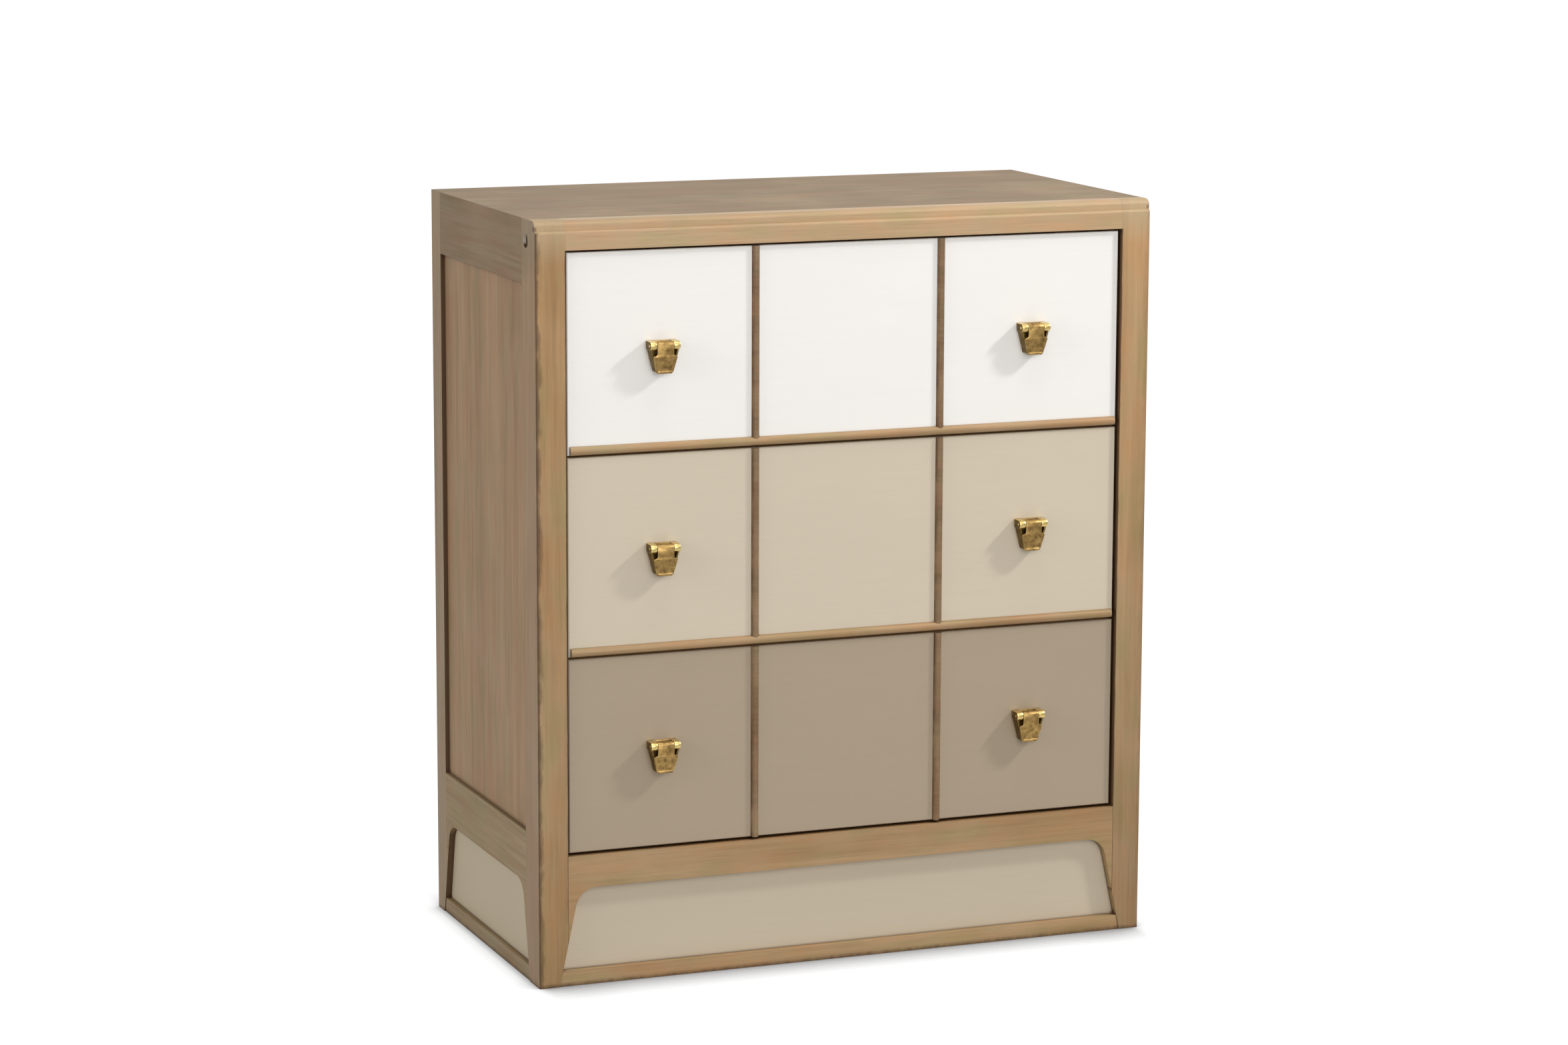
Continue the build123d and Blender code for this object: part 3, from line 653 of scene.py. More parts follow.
@dataclass(frozen=True)
class Lacquer:
    """Satin lacquer brushed on a board in faint level strokes, with bare timber behind the face, and
    soil and painted shade in its recesses.
    """

    colour: Tone
    stroke: float = 0.045
    stroke_scale: float = 260.0
    stroke_depth: float = 0.06 * MM
    cloud_scale: float = 9.0
    gloss_rough: float = 0.42
    paint_depth: float = 4 * MM
    paint_fade: float = 0.3 * MM
    end_grain: Tone = Tone(166, 128, 84)
    end_share: float = 0.9
    end_band: Range = (0.4 * MM, 0.1 * MM)
    soil_and_shade: Tone = Tone(120, 98, 70)
    soil_and_shade_share: float = 0.5
    soil_and_shade_reach: float = 5 * MM

    def material(self, name: str, face: Vector | None, shift: float) -> bpy.types.Material:
        """Makes the finish for one board.

        Args:
            name: Name of the material.
            face: Left end of the painted face, or None where the board is painted all over.
            shift: Where in the pattern the board lies, in metres.

        Returns:
            The new material.
        """
        shader = Shader(name)
        strokes = shader.noise(
            shader.coordinates((0.03, 1.0, 1.0), shift), self.stroke_scale, 4.0, 0.6
        )
        clouds = shader.noise(shader.coordinates((0.4, 1.0, 1.0), shift), self.cloud_scale, 3.0)
        pattern = shader.choose(0.5, strokes, clouds)
        shade = shader.spread(pattern, MIDDLE, (1.0 - self.stroke, 1.0))
        colour = shader.mix(1.0, self.colour, shade, "MULTIPLY")
        # Soil and painted shade: darker in recesses, by occlusion
        deep = shader.recess(self.soil_and_shade_reach)
        colour = shader.mix(
            shader.spread(deep, (0.25, 0.75), (0.0, self.soil_and_shade_share)), colour, self.soil_and_shade
        )
        if face is not None:
            x, depth, _ = shader.parts("Object")
            timber = PlainTimber().colour(shader, Grain.ALONG_X, shift)
            band = tuple(-face.x - step for step in self.end_band)
            end = shader.spread(shader.maths("ABSOLUTE", x), band, (0.0, self.end_share))
            timber = shader.mix(end, timber, self.end_grain)
            edge = face.y + self.paint_depth
            colour = shader.mix(
                shader.spread(depth, (edge, edge + self.paint_fade)), colour, timber
            )
        shader.coat(colour, strokes, (self.gloss_rough - 0.05, self.gloss_rough + 0.05))
        shader.bump(strokes, self.stroke_depth, 0.22)
        return shader.material


@dataclass(frozen=True)
class Brass:
    """Brass with a brown patina in its hollows, and bright wear along its edges that also serves as
    painted highlight.
    """

    metal: Tone
    patina: Tone
    patina_share: float
    gloss_rough: float
    wear_and_highlight: float
    hollow: float
    bright: Tone = Tone(236, 210, 148)
    stain_scale: float = 130.0
    brush_scale: float = 1400.0
    hollow_reach: float = 5 * MM
    wear_width: float = 1.1 * MM

    def material(self, name: str) -> bpy.types.Material:
        """Makes the finish.

        Args:
            name: Name of the material.

        Returns:
            The new material.
        """
        shader = Shader(name)
        stain = shader.noise(shader.coordinates(EVEN, 0.0), self.stain_scale, 4.0, 0.6)
        brushed = shader.noise(shader.coordinates((1.0, 1.0, 0.12), 0.3), self.brush_scale, 2.0)
        hollow = shader.spread(shader.recess(self.hollow_reach), (0.25, 0.8), (0.0, self.hollow))
        aged = shader.spread(stain, (0.35, 0.7), (0.0, self.patina_share))
        aged = shader.maths("MINIMUM", shader.maths("ADD", aged, hollow), 1.0)
        colour = shader.mix(aged, self.metal, self.patina)
        # Bright wear along the edges, which also stands in for the highlights that the edges catch
        worn = shader.times(shader.arris(self.wear_width), self.wear_and_highlight)
        colour = shader.mix(worn, colour, self.bright)
        shader.surface.inputs["Metallic"].default_value = 1.0
        shader.coat(colour, stain, (self.gloss_rough - 0.04, self.gloss_rough + 0.1))
        shader.bump(brushed, 0.03 * MM, 0.2)
        return shader.material


class Metal(Enum):
    """The brass finishes, by the index that marks a bracket's faces."""

    POLISHED = 0
    ANTIQUE = 1
    SHADED = 2


def brass_finishes() -> dict[Metal, bpy.types.Material]:
    """Makes the finishes of the pulls and screws.

    Returns:
        The materials by finish.
    """
    finishes = {
        Metal.POLISHED: Brass(
            metal=Tone(236, 209, 136), patina=Tone(104, 80, 36), patina_share=0.15,
            gloss_rough=0.26, wear_and_highlight=0.3, hollow=0.7,
        ),
        Metal.ANTIQUE: Brass(
            metal=Tone(192, 158, 98), patina=Tone(86, 62, 30), patina_share=0.85,
            gloss_rough=0.42, wear_and_highlight=0.75, hollow=0.1,
        ),
        Metal.SHADED: Brass(
            metal=Tone(124, 100, 52), patina=Tone(62, 48, 24), patina_share=0.6,
            gloss_rough=0.45, wear_and_highlight=0.4, hollow=0.3,
        ),
    }
    return {metal: finish.material(f"{metal.name.lower()}_brass") for metal, finish in finishes.items()}


def dress(node: bpy.types.Object, material: bpy.types.Material) -> None:
    """Gives a piece one finish all over.

    Args:
        node: The piece.
        material: Its finish.
    """
    node.data.materials.clear()
    node.data.materials.append(material)
    LOG.info("dressed %s in %s", node.name, material.name)


def join(shape: Shape, part: Shape) -> None:
    """Moves a finished part into a larger shape and frees it.

    Args:
        shape: Shape that grows.
        part: Part that is used up.
    """
    bmesh.ops.recalc_face_normals(part, faces=part.faces)
    mesh = bpy.data.meshes.new("part")
    part.to_mesh(mesh)
    part.free()
    shape.from_mesh(mesh)
    bpy.data.meshes.remove(mesh)


def cut(part: Shape, point: Vector, normal: Vector, clear_outer: bool = False) -> None:
    """Cuts a part's faces along a plane.

    Args:
        part: Part to cut.
        point: A point of the plane.
        normal: Direction square to the plane.
        clear_outer: Whether what lies on the normal's side goes.
    """
    bmesh.ops.bisect_plane(
        part, geom=part.verts[:] + part.edges[:] + part.faces[:], plane_co=point, plane_no=normal,
        clear_outer=clear_outer,
    )


def draw_out(part: Shape, drawn: dict[str, list], path: Vector) -> None:
    """Moves what an extrusion has added to a part.

    Args:
        part: Part that was extruded.
        drawn: What the extrusion gave back.
        path: How far, and which way, it goes.
    """
    moved = [item for item in drawn["geom"] if isinstance(item, bmesh.types.BMVert)]
    bmesh.ops.translate(part, verts=moved, vec=path)


def ease(part: Shape, geom: list, offset: float, segments: int, affect: str = "EDGES") -> None:
    """Rounds some edges or corners of a part.

    Args:
        part: Part to ease.
        geom: Edges or vertices to round.
        offset: Width of the rounding, in metres.
        segments: Faces across it.
        affect: Whether edges or vertices are meant.
    """
    bmesh.ops.bevel(
        part, geom=geom, offset=offset, offset_type="OFFSET", affect=affect, segments=segments,
        profile=0.5, material=-1, clamp_overlap=True,
    )


def soften(part: Shape, offset: float, segments: int = 2) -> None:
    """Rounds every sharp edge of a part.

    Args:
        part: Part to soften.
        offset: Width of the rounding, in metres.
        segments: Faces across it.
    """
    bmesh.ops.remove_doubles(part, verts=part.verts, dist=WELD)
    inner = [edge for edge in part.edges if len(edge.link_faces) == 2]
    ease(part, [e for e in inner if e.calc_face_angle(0.0) > SHARP_ANGLE], offset, segments)
    bmesh.ops.dissolve_degenerate(part, edges=part.edges, dist=WELD)


def rod(radius: float, length: float, middle: Vector, axis: Grain, sides: int) -> Shape:
    """A capped round rod.

    Args:
        radius: Its radius, in metres.
        length: Its length, in metres.
        middle: Where its middle lies.
        axis: Which way it runs.
        sides: Sides of its section.

    Returns:
        The new shape.
    """
    turns = {
        Grain.ALONG_X: Matrix.Rotation(math.pi / 2, 4, "Y"),
        Grain.ALONG_Y: Matrix.Rotation(math.pi / 2, 4, "X"),
        Grain.ALONG_Z: Matrix.Identity(4),
    }
    part = bmesh.new()
    bmesh.ops.create_cone(
        part, cap_ends=True, cap_tris=False, segments=sides, radius1=radius, radius2=radius,
        depth=length, matrix=Matrix.Translation(middle) @ turns[axis],
    )
    return part


def slab(outline: list[Vector], thickness: Vector) -> Shape:
    """A flat outline given a thickness.

    Args:
        outline: Corners of the flat outline, in order.
        thickness: How far, and which way, the outline is drawn out.

    Returns:
        The new shape.
    """
    part = bmesh.new()
    part.faces.new([part.verts.new(corner) for corner in outline])
    draw_out(part, bmesh.ops.extrude_face_region(part, geom=part.faces[:]), thickness)
    return part


def tint(faces: list[bmesh.types.BMFace], metal: Metal) -> None:
    """Marks faces for one of their piece's finishes."""
    for face in faces:
        face.material_index = metal.value


def set_piece(
    name: str, shape: Shape, materials: list[bpy.types.Material], body: str, slot: str,
    *replaced: str,
) -> None:
    """Turns a finished shape into a piece of the chest.

    Args:
        name: Name of the piece.
        shape: Its shape, which is used up.
        materials: Its finishes, in the order that its faces are marked by.
        body: Moving body that it rides on.
        slot: Material slot of the record that its finish stands for; not used.
        *replaced: Plain pieces that it stands for.
    """
    mesh = bpy.data.meshes.new(name)
    shape.to_mesh(mesh)
    shape.free()
    mesh.shade_smooth()
    mesh.set_sharp_from_angle(angle=SMOOTH_ANGLE)
    for material in materials:
        mesh.materials.append(material)
    piece = bpy.data.objects.new(name, mesh)
    bpy.context.scene.collection.objects.link(piece)
    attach(piece, body)
    if replaced:
        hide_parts(*replaced)
    LOG.info("made %s: %d faces on %s", name, len(mesh.polygons), body)


@dataclass
class PanScrew:
    """A screw with a rounded pan head and a slotted drive."""

    head_radius: float = 4.0 * MM
    head_height: float = 2.4 * MM
    head_sides: int = 32
    dome_share: float = 0.6
    dome_steps: int = 4
    shank_radius: float = 2.0 * MM
    shank_length: float = 26.0 * MM
    shank_sides: int = 24
    slot_width: float = 1.0 * MM
    slot_depth: float = 1.1 * MM

    def build(self, seat: Vector) -> Shape:
        """Makes the screw with its head towards +Y.

        Args:
            seat: Middle of the face that the head bears on.

        Returns:
            The new shape.
        """
        middle = Vector((0, self.head_height / 2, 0))
        head = rod(self.head_radius, self.head_height, middle, Grain.ALONG_Y, self.head_sides)
        sharp = [edge for edge in head.edges if edge.calc_face_angle(0.0) > SHARP_ANGLE]
        rim = [edge for edge in sharp if min(v.co.y for v in edge.verts) > middle.y]
        ease(head, rim, self.head_height * self.dome_share, self.dome_steps)
        for side in Side:
            cut(head, Vector((0, 0, side.value * self.slot_width / 2)), Vector((0, 0, 1)))
        top = [face for face in head.faces if self.in_slot(face)]
        drawn = bmesh.ops.extrude_face_region(head, geom=top)
        draw_out(head, drawn, Vector((0, -self.slot_depth, 0)))
        bmesh.ops.delete(head, geom=top, context="FACES_ONLY")
        middle = Vector((0, -self.shank_length / 2, 0))
        shank = rod(self.shank_radius, self.shank_length, middle, Grain.ALONG_Y, self.shank_sides)
        join(head, shank)
        bmesh.ops.translate(head, verts=head.verts, vec=seat)
        return head

    def in_slot(self, face: bmesh.types.BMFace) -> bool:
        """Tells the faces that the slot is cut from.

        Args:
            face: A face of the head.

        Returns:
            Whether it lies on the flat top, within the slot's width.
        """
        middle = face.calc_center_median()
        on_top = face.normal.y > 0.99 and middle.y > self.head_height * 0.9
        return on_top and abs(middle.z) < self.slot_width / 2


@dataclass
class Pull:
    """One drop pull: a cast bracket with two outer knuckles, and a tongue hung on its pin.

    The seat that the methods take is the point on the drawer's face behind the middle of the pin.
    """

    stand_off: float = 15.0 * MM
    barrel_radius: float = 5.75 * MM
    barrel_length: float = 43.0 * MM
    barrel_sides: int = 48
    knuckle_length: float = 9.5 * MM
    knuckle_gap: float = 0.3 * MM
    pin_proud: float = 0.25 * MM
    plate: float = 2.5 * MM
    wall: float = 2.5 * MM
    bracket_drop: float = 36.0 * MM
    foot_width: float = 24.0 * MM
    boss_width: float = 9.0 * MM
    boss_height: float = 5.5 * MM
    boss_drop: float = 8.0 * MM
    strap: float = 3.0 * MM
    rest_gap: float = 0.4 * MM
    shoulder_drop: float = 13.5 * MM
    shoulder_width: float = 35.0 * MM
    tongue_drop: float = 38.0 * MM
    tip_width: float = 23.0 * MM
    tip_setback: float = 5.0 * MM
    corner: float = 3.0 * MM
    corner_steps: int = 5
    lip: float = 2.2 * MM
    lip_sides: int = 24
    edge: float = 0.7 * MM
    steps: int = 8

    def bow(self, drop: float) -> float:
        """How far the tongue has bowed towards the drawer at a drop below the pin."""
        return self.tip_setback * (drop / self.tongue_drop) ** 2

    @staticmethod
    def place(seat: Vector, across: float, out: float, up: float) -> Vector:
        """A point of the pull.

        Args:
            seat: The pull's seat.
            across: Distance to the right of the middle.
            out: Distance in front of the face.
            up: Distance above the pin.

        Returns:
            The point in the chest's frame.
        """
        return seat + Vector((across, -out, up))

    def bracket(self, seat: Vector) -> Shape:
        """Models the bracket.

        Args:
            seat: The pull's seat.

        Returns:
            The new shape.
        """
        half, foot = self.barrel_length / 2, self.foot_width / 2
        outline = (
            (-half, self.barrel_radius), (half, self.barrel_radius), (half, 0.0),
            (foot, -self.bracket_drop), (-foot, -self.bracket_drop), (-half, 0.0),
        )
        corners = [self.place(seat, x, 0.0, z) for x, z in outline]
        shape = slab(corners, Vector((0, -self.plate, 0)))
        soften(shape, self.edge)
        reach = self.boss_width / 2
        corners = [
            self.place(seat, x * reach, self.plate / 2, z * reach - self.boss_drop)
            for x, z in ((-1, -1), (1, -1), (1, 1), (-1, 1))
        ]
        boss = slab(corners, Vector((0, -self.plate / 2 - self.boss_height, 0)))
        soften(boss, self.edge)
        join(shape, boss)
        tint(shape.faces, Metal.ANTIQUE)
        for side in Side:
            join(shape, self.side_wall(seat, side.value))
            join(shape, self.knuckle(seat, side.value))
        return shape

    def side_wall(self, seat: Vector, sign: int) -> Shape:
        """Models one tapered side wall, whose front edge follows the tongue that rests on it.

        Args:
            seat: The pull's seat.
            sign: Which side of the bracket.

        Returns:
            The new shape.
        """
        half, foot = self.barrel_length / 2, self.foot_width / 2
        rest = self.stand_off + self.barrel_radius - self.strap - self.rest_gap
        drops = [self.bracket_drop * step / self.steps for step in range(self.steps + 1)]
        line = [(rest - self.bow(drop), drop) for drop in drops]
        line += [(self.plate / 2, self.bracket_drop), (self.plate / 2, 0.0)]
        corners = [
            self.place(seat, sign * (half + (foot - half) * drop / self.bracket_drop), out, -drop)
            for out, drop in line
        ]
        wall = slab(corners, Vector((-sign * self.wall, 0, 0)))
        soften(wall, self.edge)
        tint(wall.faces, Metal.SHADED)
        return wall

    def knuckle(self, seat: Vector, sign: int) -> Shape:
        """Models one outer knuckle: a round eye whose web runs back to the plate.

        Args:
            seat: The pull's seat.
            sign: Which end of the barrel.

        Returns:
            The new shape.
        """
        length = self.knuckle_length - self.pin_proud
        across = sign * (self.barrel_length - self.knuckle_length - self.pin_proud) / 2
        axis = self.place(seat, across, self.stand_off, 0.0)
        eye = rod(self.barrel_radius, length, axis, Grain.ALONG_X, self.barrel_sides)
        cut(eye, axis, Vector((0, 1, 0)), clear_outer=True)
        bmesh.ops.remove_doubles(eye, verts=eye.verts, dist=WELD)
        drawn = bmesh.ops.extrude_edge_only(eye, edges=self.open_edges(eye))
        draw_out(eye, drawn, Vector((0, self.stand_off - self.plate / 2, 0)))
        bmesh.ops.holes_fill(eye, edges=self.open_edges(eye), sides=0)
        bmesh.ops.recalc_face_normals(eye, faces=eye.faces)
        soften(eye, self.edge, 3)
        tint([face for face in eye.faces if abs(face.normal.x) > 0.9], Metal.SHADED)
        return eye

    @staticmethod
    def open_edges(part: Shape) -> list[bmesh.types.BMEdge]:
        """Edges that have a face on one side only."""
        return [edge for edge in part.edges if len(edge.link_faces) == 1]

    def tongue(self, seat: Vector) -> Shape:
        """Models the tongue: a bowed strap with shoulders, a rolled lip and the centre knuckle.

        Args:
            seat: The pull's seat.

        Returns:
            The new shape.
        """
        length = self.barrel_length - 2 * self.knuckle_length - 2 * self.knuckle_gap
        front = self.stand_off + self.barrel_radius
        strap = self.flat_strap(length / 2)
        for vertex in strap.verts:
            vertex.co.y += self.bow(vertex.co.z)
        bmesh.ops.translate(strap, verts=strap.verts, vec=self.place(seat, 0.0, front, 0.0))
        middle = self.place(seat, 0.0, self.stand_off, 0.0)
        barrel = rod(self.barrel_radius, length, middle, Grain.ALONG_X, self.barrel_sides)
        soften(barrel, self.edge)
        join(strap, barrel)
        middle = self.place(seat, 0.0, front - self.tip_setback, self.lip - self.tongue_drop)
        roll = rod(self.lip, self.tip_width - self.lip, middle, Grain.ALONG_X, self.lip_sides)
        soften(roll, self.edge, 3)
        join(strap, roll)
        return strap

    def flat_strap(self, neck: float) -> Shape:
        """Models the tongue's strap before it is bowed, with its front in the plane y = 0.

        Args:
            neck: Half the width between the outer knuckles.

        Returns:
            The new shape.
        """
        shoulder, tip = self.shoulder_width / 2, self.tip_width / 2
        half_outline = (
            (neck, 0.0), (neck, -self.shoulder_drop), (shoulder, -self.shoulder_drop),
            (tip, -self.tongue_drop),
        )
        corners = [Vector((x, 0, z)) for x, z in half_outline]
        corners += [Vector((-x, 0, z)) for x, z in reversed(half_outline)]
        strap = bmesh.new()
        strap.faces.new([strap.verts.new(corner) for corner in corners])
        outer = [v for v in strap.verts if abs(v.co.x) > neck or v.co.z < -self.shoulder_drop]
        ease(strap, outer, self.corner, self.corner_steps, "VERTICES")
        for step in range(1, self.steps):
            level = Vector((0, 0, -self.tongue_drop * step / self.steps))
            cut(strap, level, Vector((0, 0, 1)))
        drawn = bmesh.ops.extrude_face_region(strap, geom=strap.faces[:])
        draw_out(strap, drawn, Vector((0, self.strap, 0)))
        bmesh.ops.recalc_face_normals(strap, faces=strap.faces)
        soften(strap, self.edge)
        return strap


@dataclass
class Drawer:
    """One drawer with its pulls."""

    name: str
    paint: Lacquer
    shift: float
    paint_slot: str
    pull: Pull = field(default_factory=Pull)
    screw: PanScrew = field(default_factory=PanScrew)

    def build(
        self, nodes: dict[str, bpy.types.Object], metals: dict[Metal, bpy.types.Material]
    ) -> None:
        """Paints the front and fits the pulls and their screws.

        Args:
            nodes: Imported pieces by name.
            metals: Brass finishes.
        """
        front = nodes[f"{self.name}_drawer_front"]
        dress(front, self.paint.material(self.paint_slot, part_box(front.name)[0], self.shift))
        dress(nodes[f"{self.name}_drawer_pull_pins"], metals[Metal.POLISHED])
        self.fit_pulls(metals)
        self.drive_screws(metals[Metal.POLISHED])

    def seats(self) -> dict[Side, Vector]:
        """Finds where the pulls sit.

        Returns:
            The point on the drawer's face behind the middle of each pull's pin.
        """
        face_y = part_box(f"{self.name}_drawer_front")[0].y
        low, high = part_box(f"{self.name}_drawer_pull_pins")
        height = (low.z + high.z) / 2
        offset = high.x - self.pull.barrel_length / 2
        return {side: Vector((side.value * offset, face_y, height)) for side in Side}

    def fit_pulls(self, metals: dict[Metal, bpy.types.Material]) -> None:
        """Models the brackets and tongues in place of the plain ones.

        Args:
            metals: Brass finishes.
        """
        drawer = f"{self.name}_drawer"
        brackets = bmesh.new()
        for side, seat in self.seats().items():
            join(brackets, self.pull.bracket(seat))
            word = side.name.lower()
            node = f"{drawer}_{word}_pull_tongue"
            set_piece(
                f"{node}_cast", self.pull.tongue(seat), [metals[Metal.ANTIQUE]],
                f"{self.name}_{word}_tongue", "antique_brass", node,
            )
        node = f"{drawer}_pull_brackets"
        finishes = [metals[metal] for metal in Metal]
        set_piece(f"{node}_cast", brackets, finishes, drawer, "antique_brass", node)

    def drive_screws(self, material: bpy.types.Material) -> None:
        """Models the screws inside the drawer in place of the plain ones.

        Args:
            material: Finish of the screws.
        """
        drawer = f"{self.name}_drawer"
        node = f"{drawer}_pull_screws"
        inner_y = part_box(f"{drawer}_front")[1].y
        low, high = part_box(node)
        height = (low.z + high.z) / 2
        screws = bmesh.new()
        for side in Side:
            x = side.value * (high.x - self.screw.head_radius)
            join(screws, self.screw.build(Vector((x, inner_y, height))))
        set_piece(f"{node}_slotted", screws, [material], drawer, "polished_brass", node)


@dataclass
class BackScrews:
    """Small screws that hold the back panel to the posts and rails."""

    inset: float = 5.0 * MM
    end_inset: float = 20.0 * MM
    upright_count: int = 6
    level_count: int = 5
    sink: float = 0.6 * MM
    screw: PanScrew = field(
        default_factory=lambda: PanScrew(
            head_radius=3.2 * MM, head_height=0.8 * MM, shank_radius=1.5 * MM,
            shank_length=6.0 * MM, slot_width=0.7 * MM, slot_depth=0.5 * MM,
        )
    )

    def build(self, material: bpy.types.Material) -> None:
        """Drives the screws along the panel's edges.

        Args:
            material: Finish of the screws.
        """
        low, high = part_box("back_panel")
        lowest = low.z + self.end_inset
        rise = (high.z - low.z - 2 * self.end_inset) / (self.upright_count - 1)
        places = []
        for step in range(self.upright_count):
            height = lowest + rise * step
            places += [(low.x + self.inset, height), (high.x - self.inset, height)]
        for step in range(1, self.level_count):
            places.append((low.x + (high.x - low.x) * step / self.level_count, lowest))
        shape = bmesh.new()
        for x, z in places:
            join(shape, self.screw.build(Vector((x, high.y - self.sink, z))))
        set_piece("back_panel_screws", shape, [material], "case", "polished_brass")


@dataclass
class Plinth:
    """The painted panels set back between the feet."""

    front: Lacquer = Lacquer(
        Tone(202, 188, 165), soil_and_shade=Tone(66, 46, 26), soil_and_shade_share=0.95, soil_and_shade_reach=6 * MM
    )
    side_colour: Tone = Tone(211, 195, 166)
    side_rough: float = 0.62
    shift: float = 0.9

    def build(self, nodes: dict[str, bpy.types.Object]) -> None:
        """Paints the panels all over.

        Args:
            nodes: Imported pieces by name.
        """
        dress(nodes["front_plinth_panel"], self.front.material("plinth_lacquer", None, self.shift))
        sides = replace(self.front, colour=self.side_colour, gloss_rough=self.side_rough)
        for side in Side:
            name = f"{side.name.lower()}_plinth_panel"
            dress(nodes[name], sides.material(f"{name}_lacquer", None, self.shift))


@dataclass
class Case:
    """The fixed frame and boards, and the drawers' own timber."""

    frame_wood: LimedWood = LimedWood()
    pale_wood: PlainTimber = PlainTimber()
    plywood: PlainTimber = PlainTimber(Tone(206, 174, 132), Tone(188, 154, 112), figure_scale=14.0)
    post_rough: float = 0.6
    side_rough: float = 0.62
    shift_step: float = 0.37

    def planks(self) -> dict[str, LimedWood]:
        """Finishes of the frame by name of the piece, since the maker's planks and glaze differ, and
        since some tones are painted light and shade.

        Returns:
            The finishes. The first name that fits a piece counts, and * stands for any letters.
        """
        wood = self.frame_wood
        post = replace(wood, gloss_rough=self.post_rough)
        side = replace(wood, gloss_rough=self.side_rough)
        # The skirts get painted shade on their faces that face the front
        skirt = replace(
            side, light=Tone(166, 140, 101), dark=Tone(143, 117, 80), lime=Tone(168, 154, 124),
            wall_shade=0.85,
        )
        panel = replace(
            side, light=Tone(175, 140, 103), dark=Tone(151, 117, 82), lime=Tone(176, 154, 126)
        )
        return {
            # Painted light: the front posts grow lighter towards the head and darker towards the foot
            "front_left_post": replace(
                post, light=Tone(171, 136, 91), dark=Tone(151, 116, 74), corner_glaze=0.9,
                foot_share=0.93, head_share=1.1,
            ),
            "front_right_post": replace(
                post, corner_glaze=0.25, foot_share=0.82, head_share=1.15
            ),
            # Painted light: the front top rail is lighter, as more light falls on the top of the front
            "front_top_rail": replace(wood, light=Tone(195, 163, 124), dark=Tone(178, 146, 108)),
            "front_*": wood,
            # Painted shade: the top board is darker, as less light falls on it
            "top_board": replace(side, light=Tone(144, 121, 94), dark=Tone(131, 108, 80)),
            # The upright beads are darker, partly glaze and partly painted shade of their shaded
            # flanks, with painted shade at their roots
            "*_beads": replace(
                wood, light=Tone(138, 106, 72), dark=Tone(112, 82, 52), hollow_reach=5 * MM,
                hollow_glaze_and_shade=0.9, root_shade=0.95,
            ),
            "*_bead": replace(wood, hollow_reach=4 * MM, hollow_glaze_and_shade=0.95),
            # Painted light: the side top rails grow lighter towards the front
            "*_top_rail": replace(
                side, light=Tone(140, 114, 81), dark=Tone(131, 104, 72), lime=Tone(154, 133, 101),
                fore_share=1.1,
            ),
            # The back posts get painted shade on their faces that face the front
            "*_post": replace(
                side, light=Tone(162, 137, 107), dark=Tone(146, 121, 92), lime=Tone(170, 152, 126),
                edge_glaze=0.6, wall_shade=0.85,
            ),
            "*_apron": skirt,
            "*_sole_strip": skirt,
            "post_plugs": replace(wood, light=Tone(64, 46, 22), dark=Tone(44, 30, 14)),
            "*_side_panel": panel,
            "back_rail": panel,
        }

    def build(self, nodes: dict[str, bpy.types.Object], slots: dict[str, str]) -> None:
        """Dresses every piece that isn't painted or brass.

        Args:
            nodes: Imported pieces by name.
            slots: Material slot of each piece.
        """
        planks = self.planks()
        for index, (name, node) in enumerate(sorted(nodes.items())):
            low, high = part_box(name)
            span = list(high - low)
            grain = Grain(span.index(max(span)))
            shift = self.shift_step * index
            if slots[name] == "frame_wood":
                wood = next(finish for key, finish in planks.items() if fnmatch(name, key))
                dress(node, wood.material(name, grain, shift))
            elif slots[name] == "drawer_wood":
                dress(node, self.pale_wood.material(f"pale_{name}", grain, shift))
            elif slots[name] == "plywood":
                dress(node, self.plywood.material(f"ply_{name}", grain, shift))


@dataclass(frozen=True)
class Softbox:
    """A square studio lamp that faces the chest."""

    name: str
    place: Triple
    size: float
    power: float
    target: Triple = (0.0, 0.0, 0.55)
    mirrored: bool = True

    def build(self) -> None:
        """Hangs the lamp."""
        data = bpy.data.lights.new(self.name, "AREA")
        data.shape = "SQUARE"
        data.size = self.size
        data.energy = self.power
        lamp = bpy.data.objects.new(self.name, data)
        lamp.location = self.place
        lamp.visible_glossy = self.mirrored
        aim = Vector(self.target) - lamp.location
        lamp.rotation_euler = aim.to_track_quat("-Z", "Y").to_euler()
        bpy.context.scene.collection.objects.link(lamp)


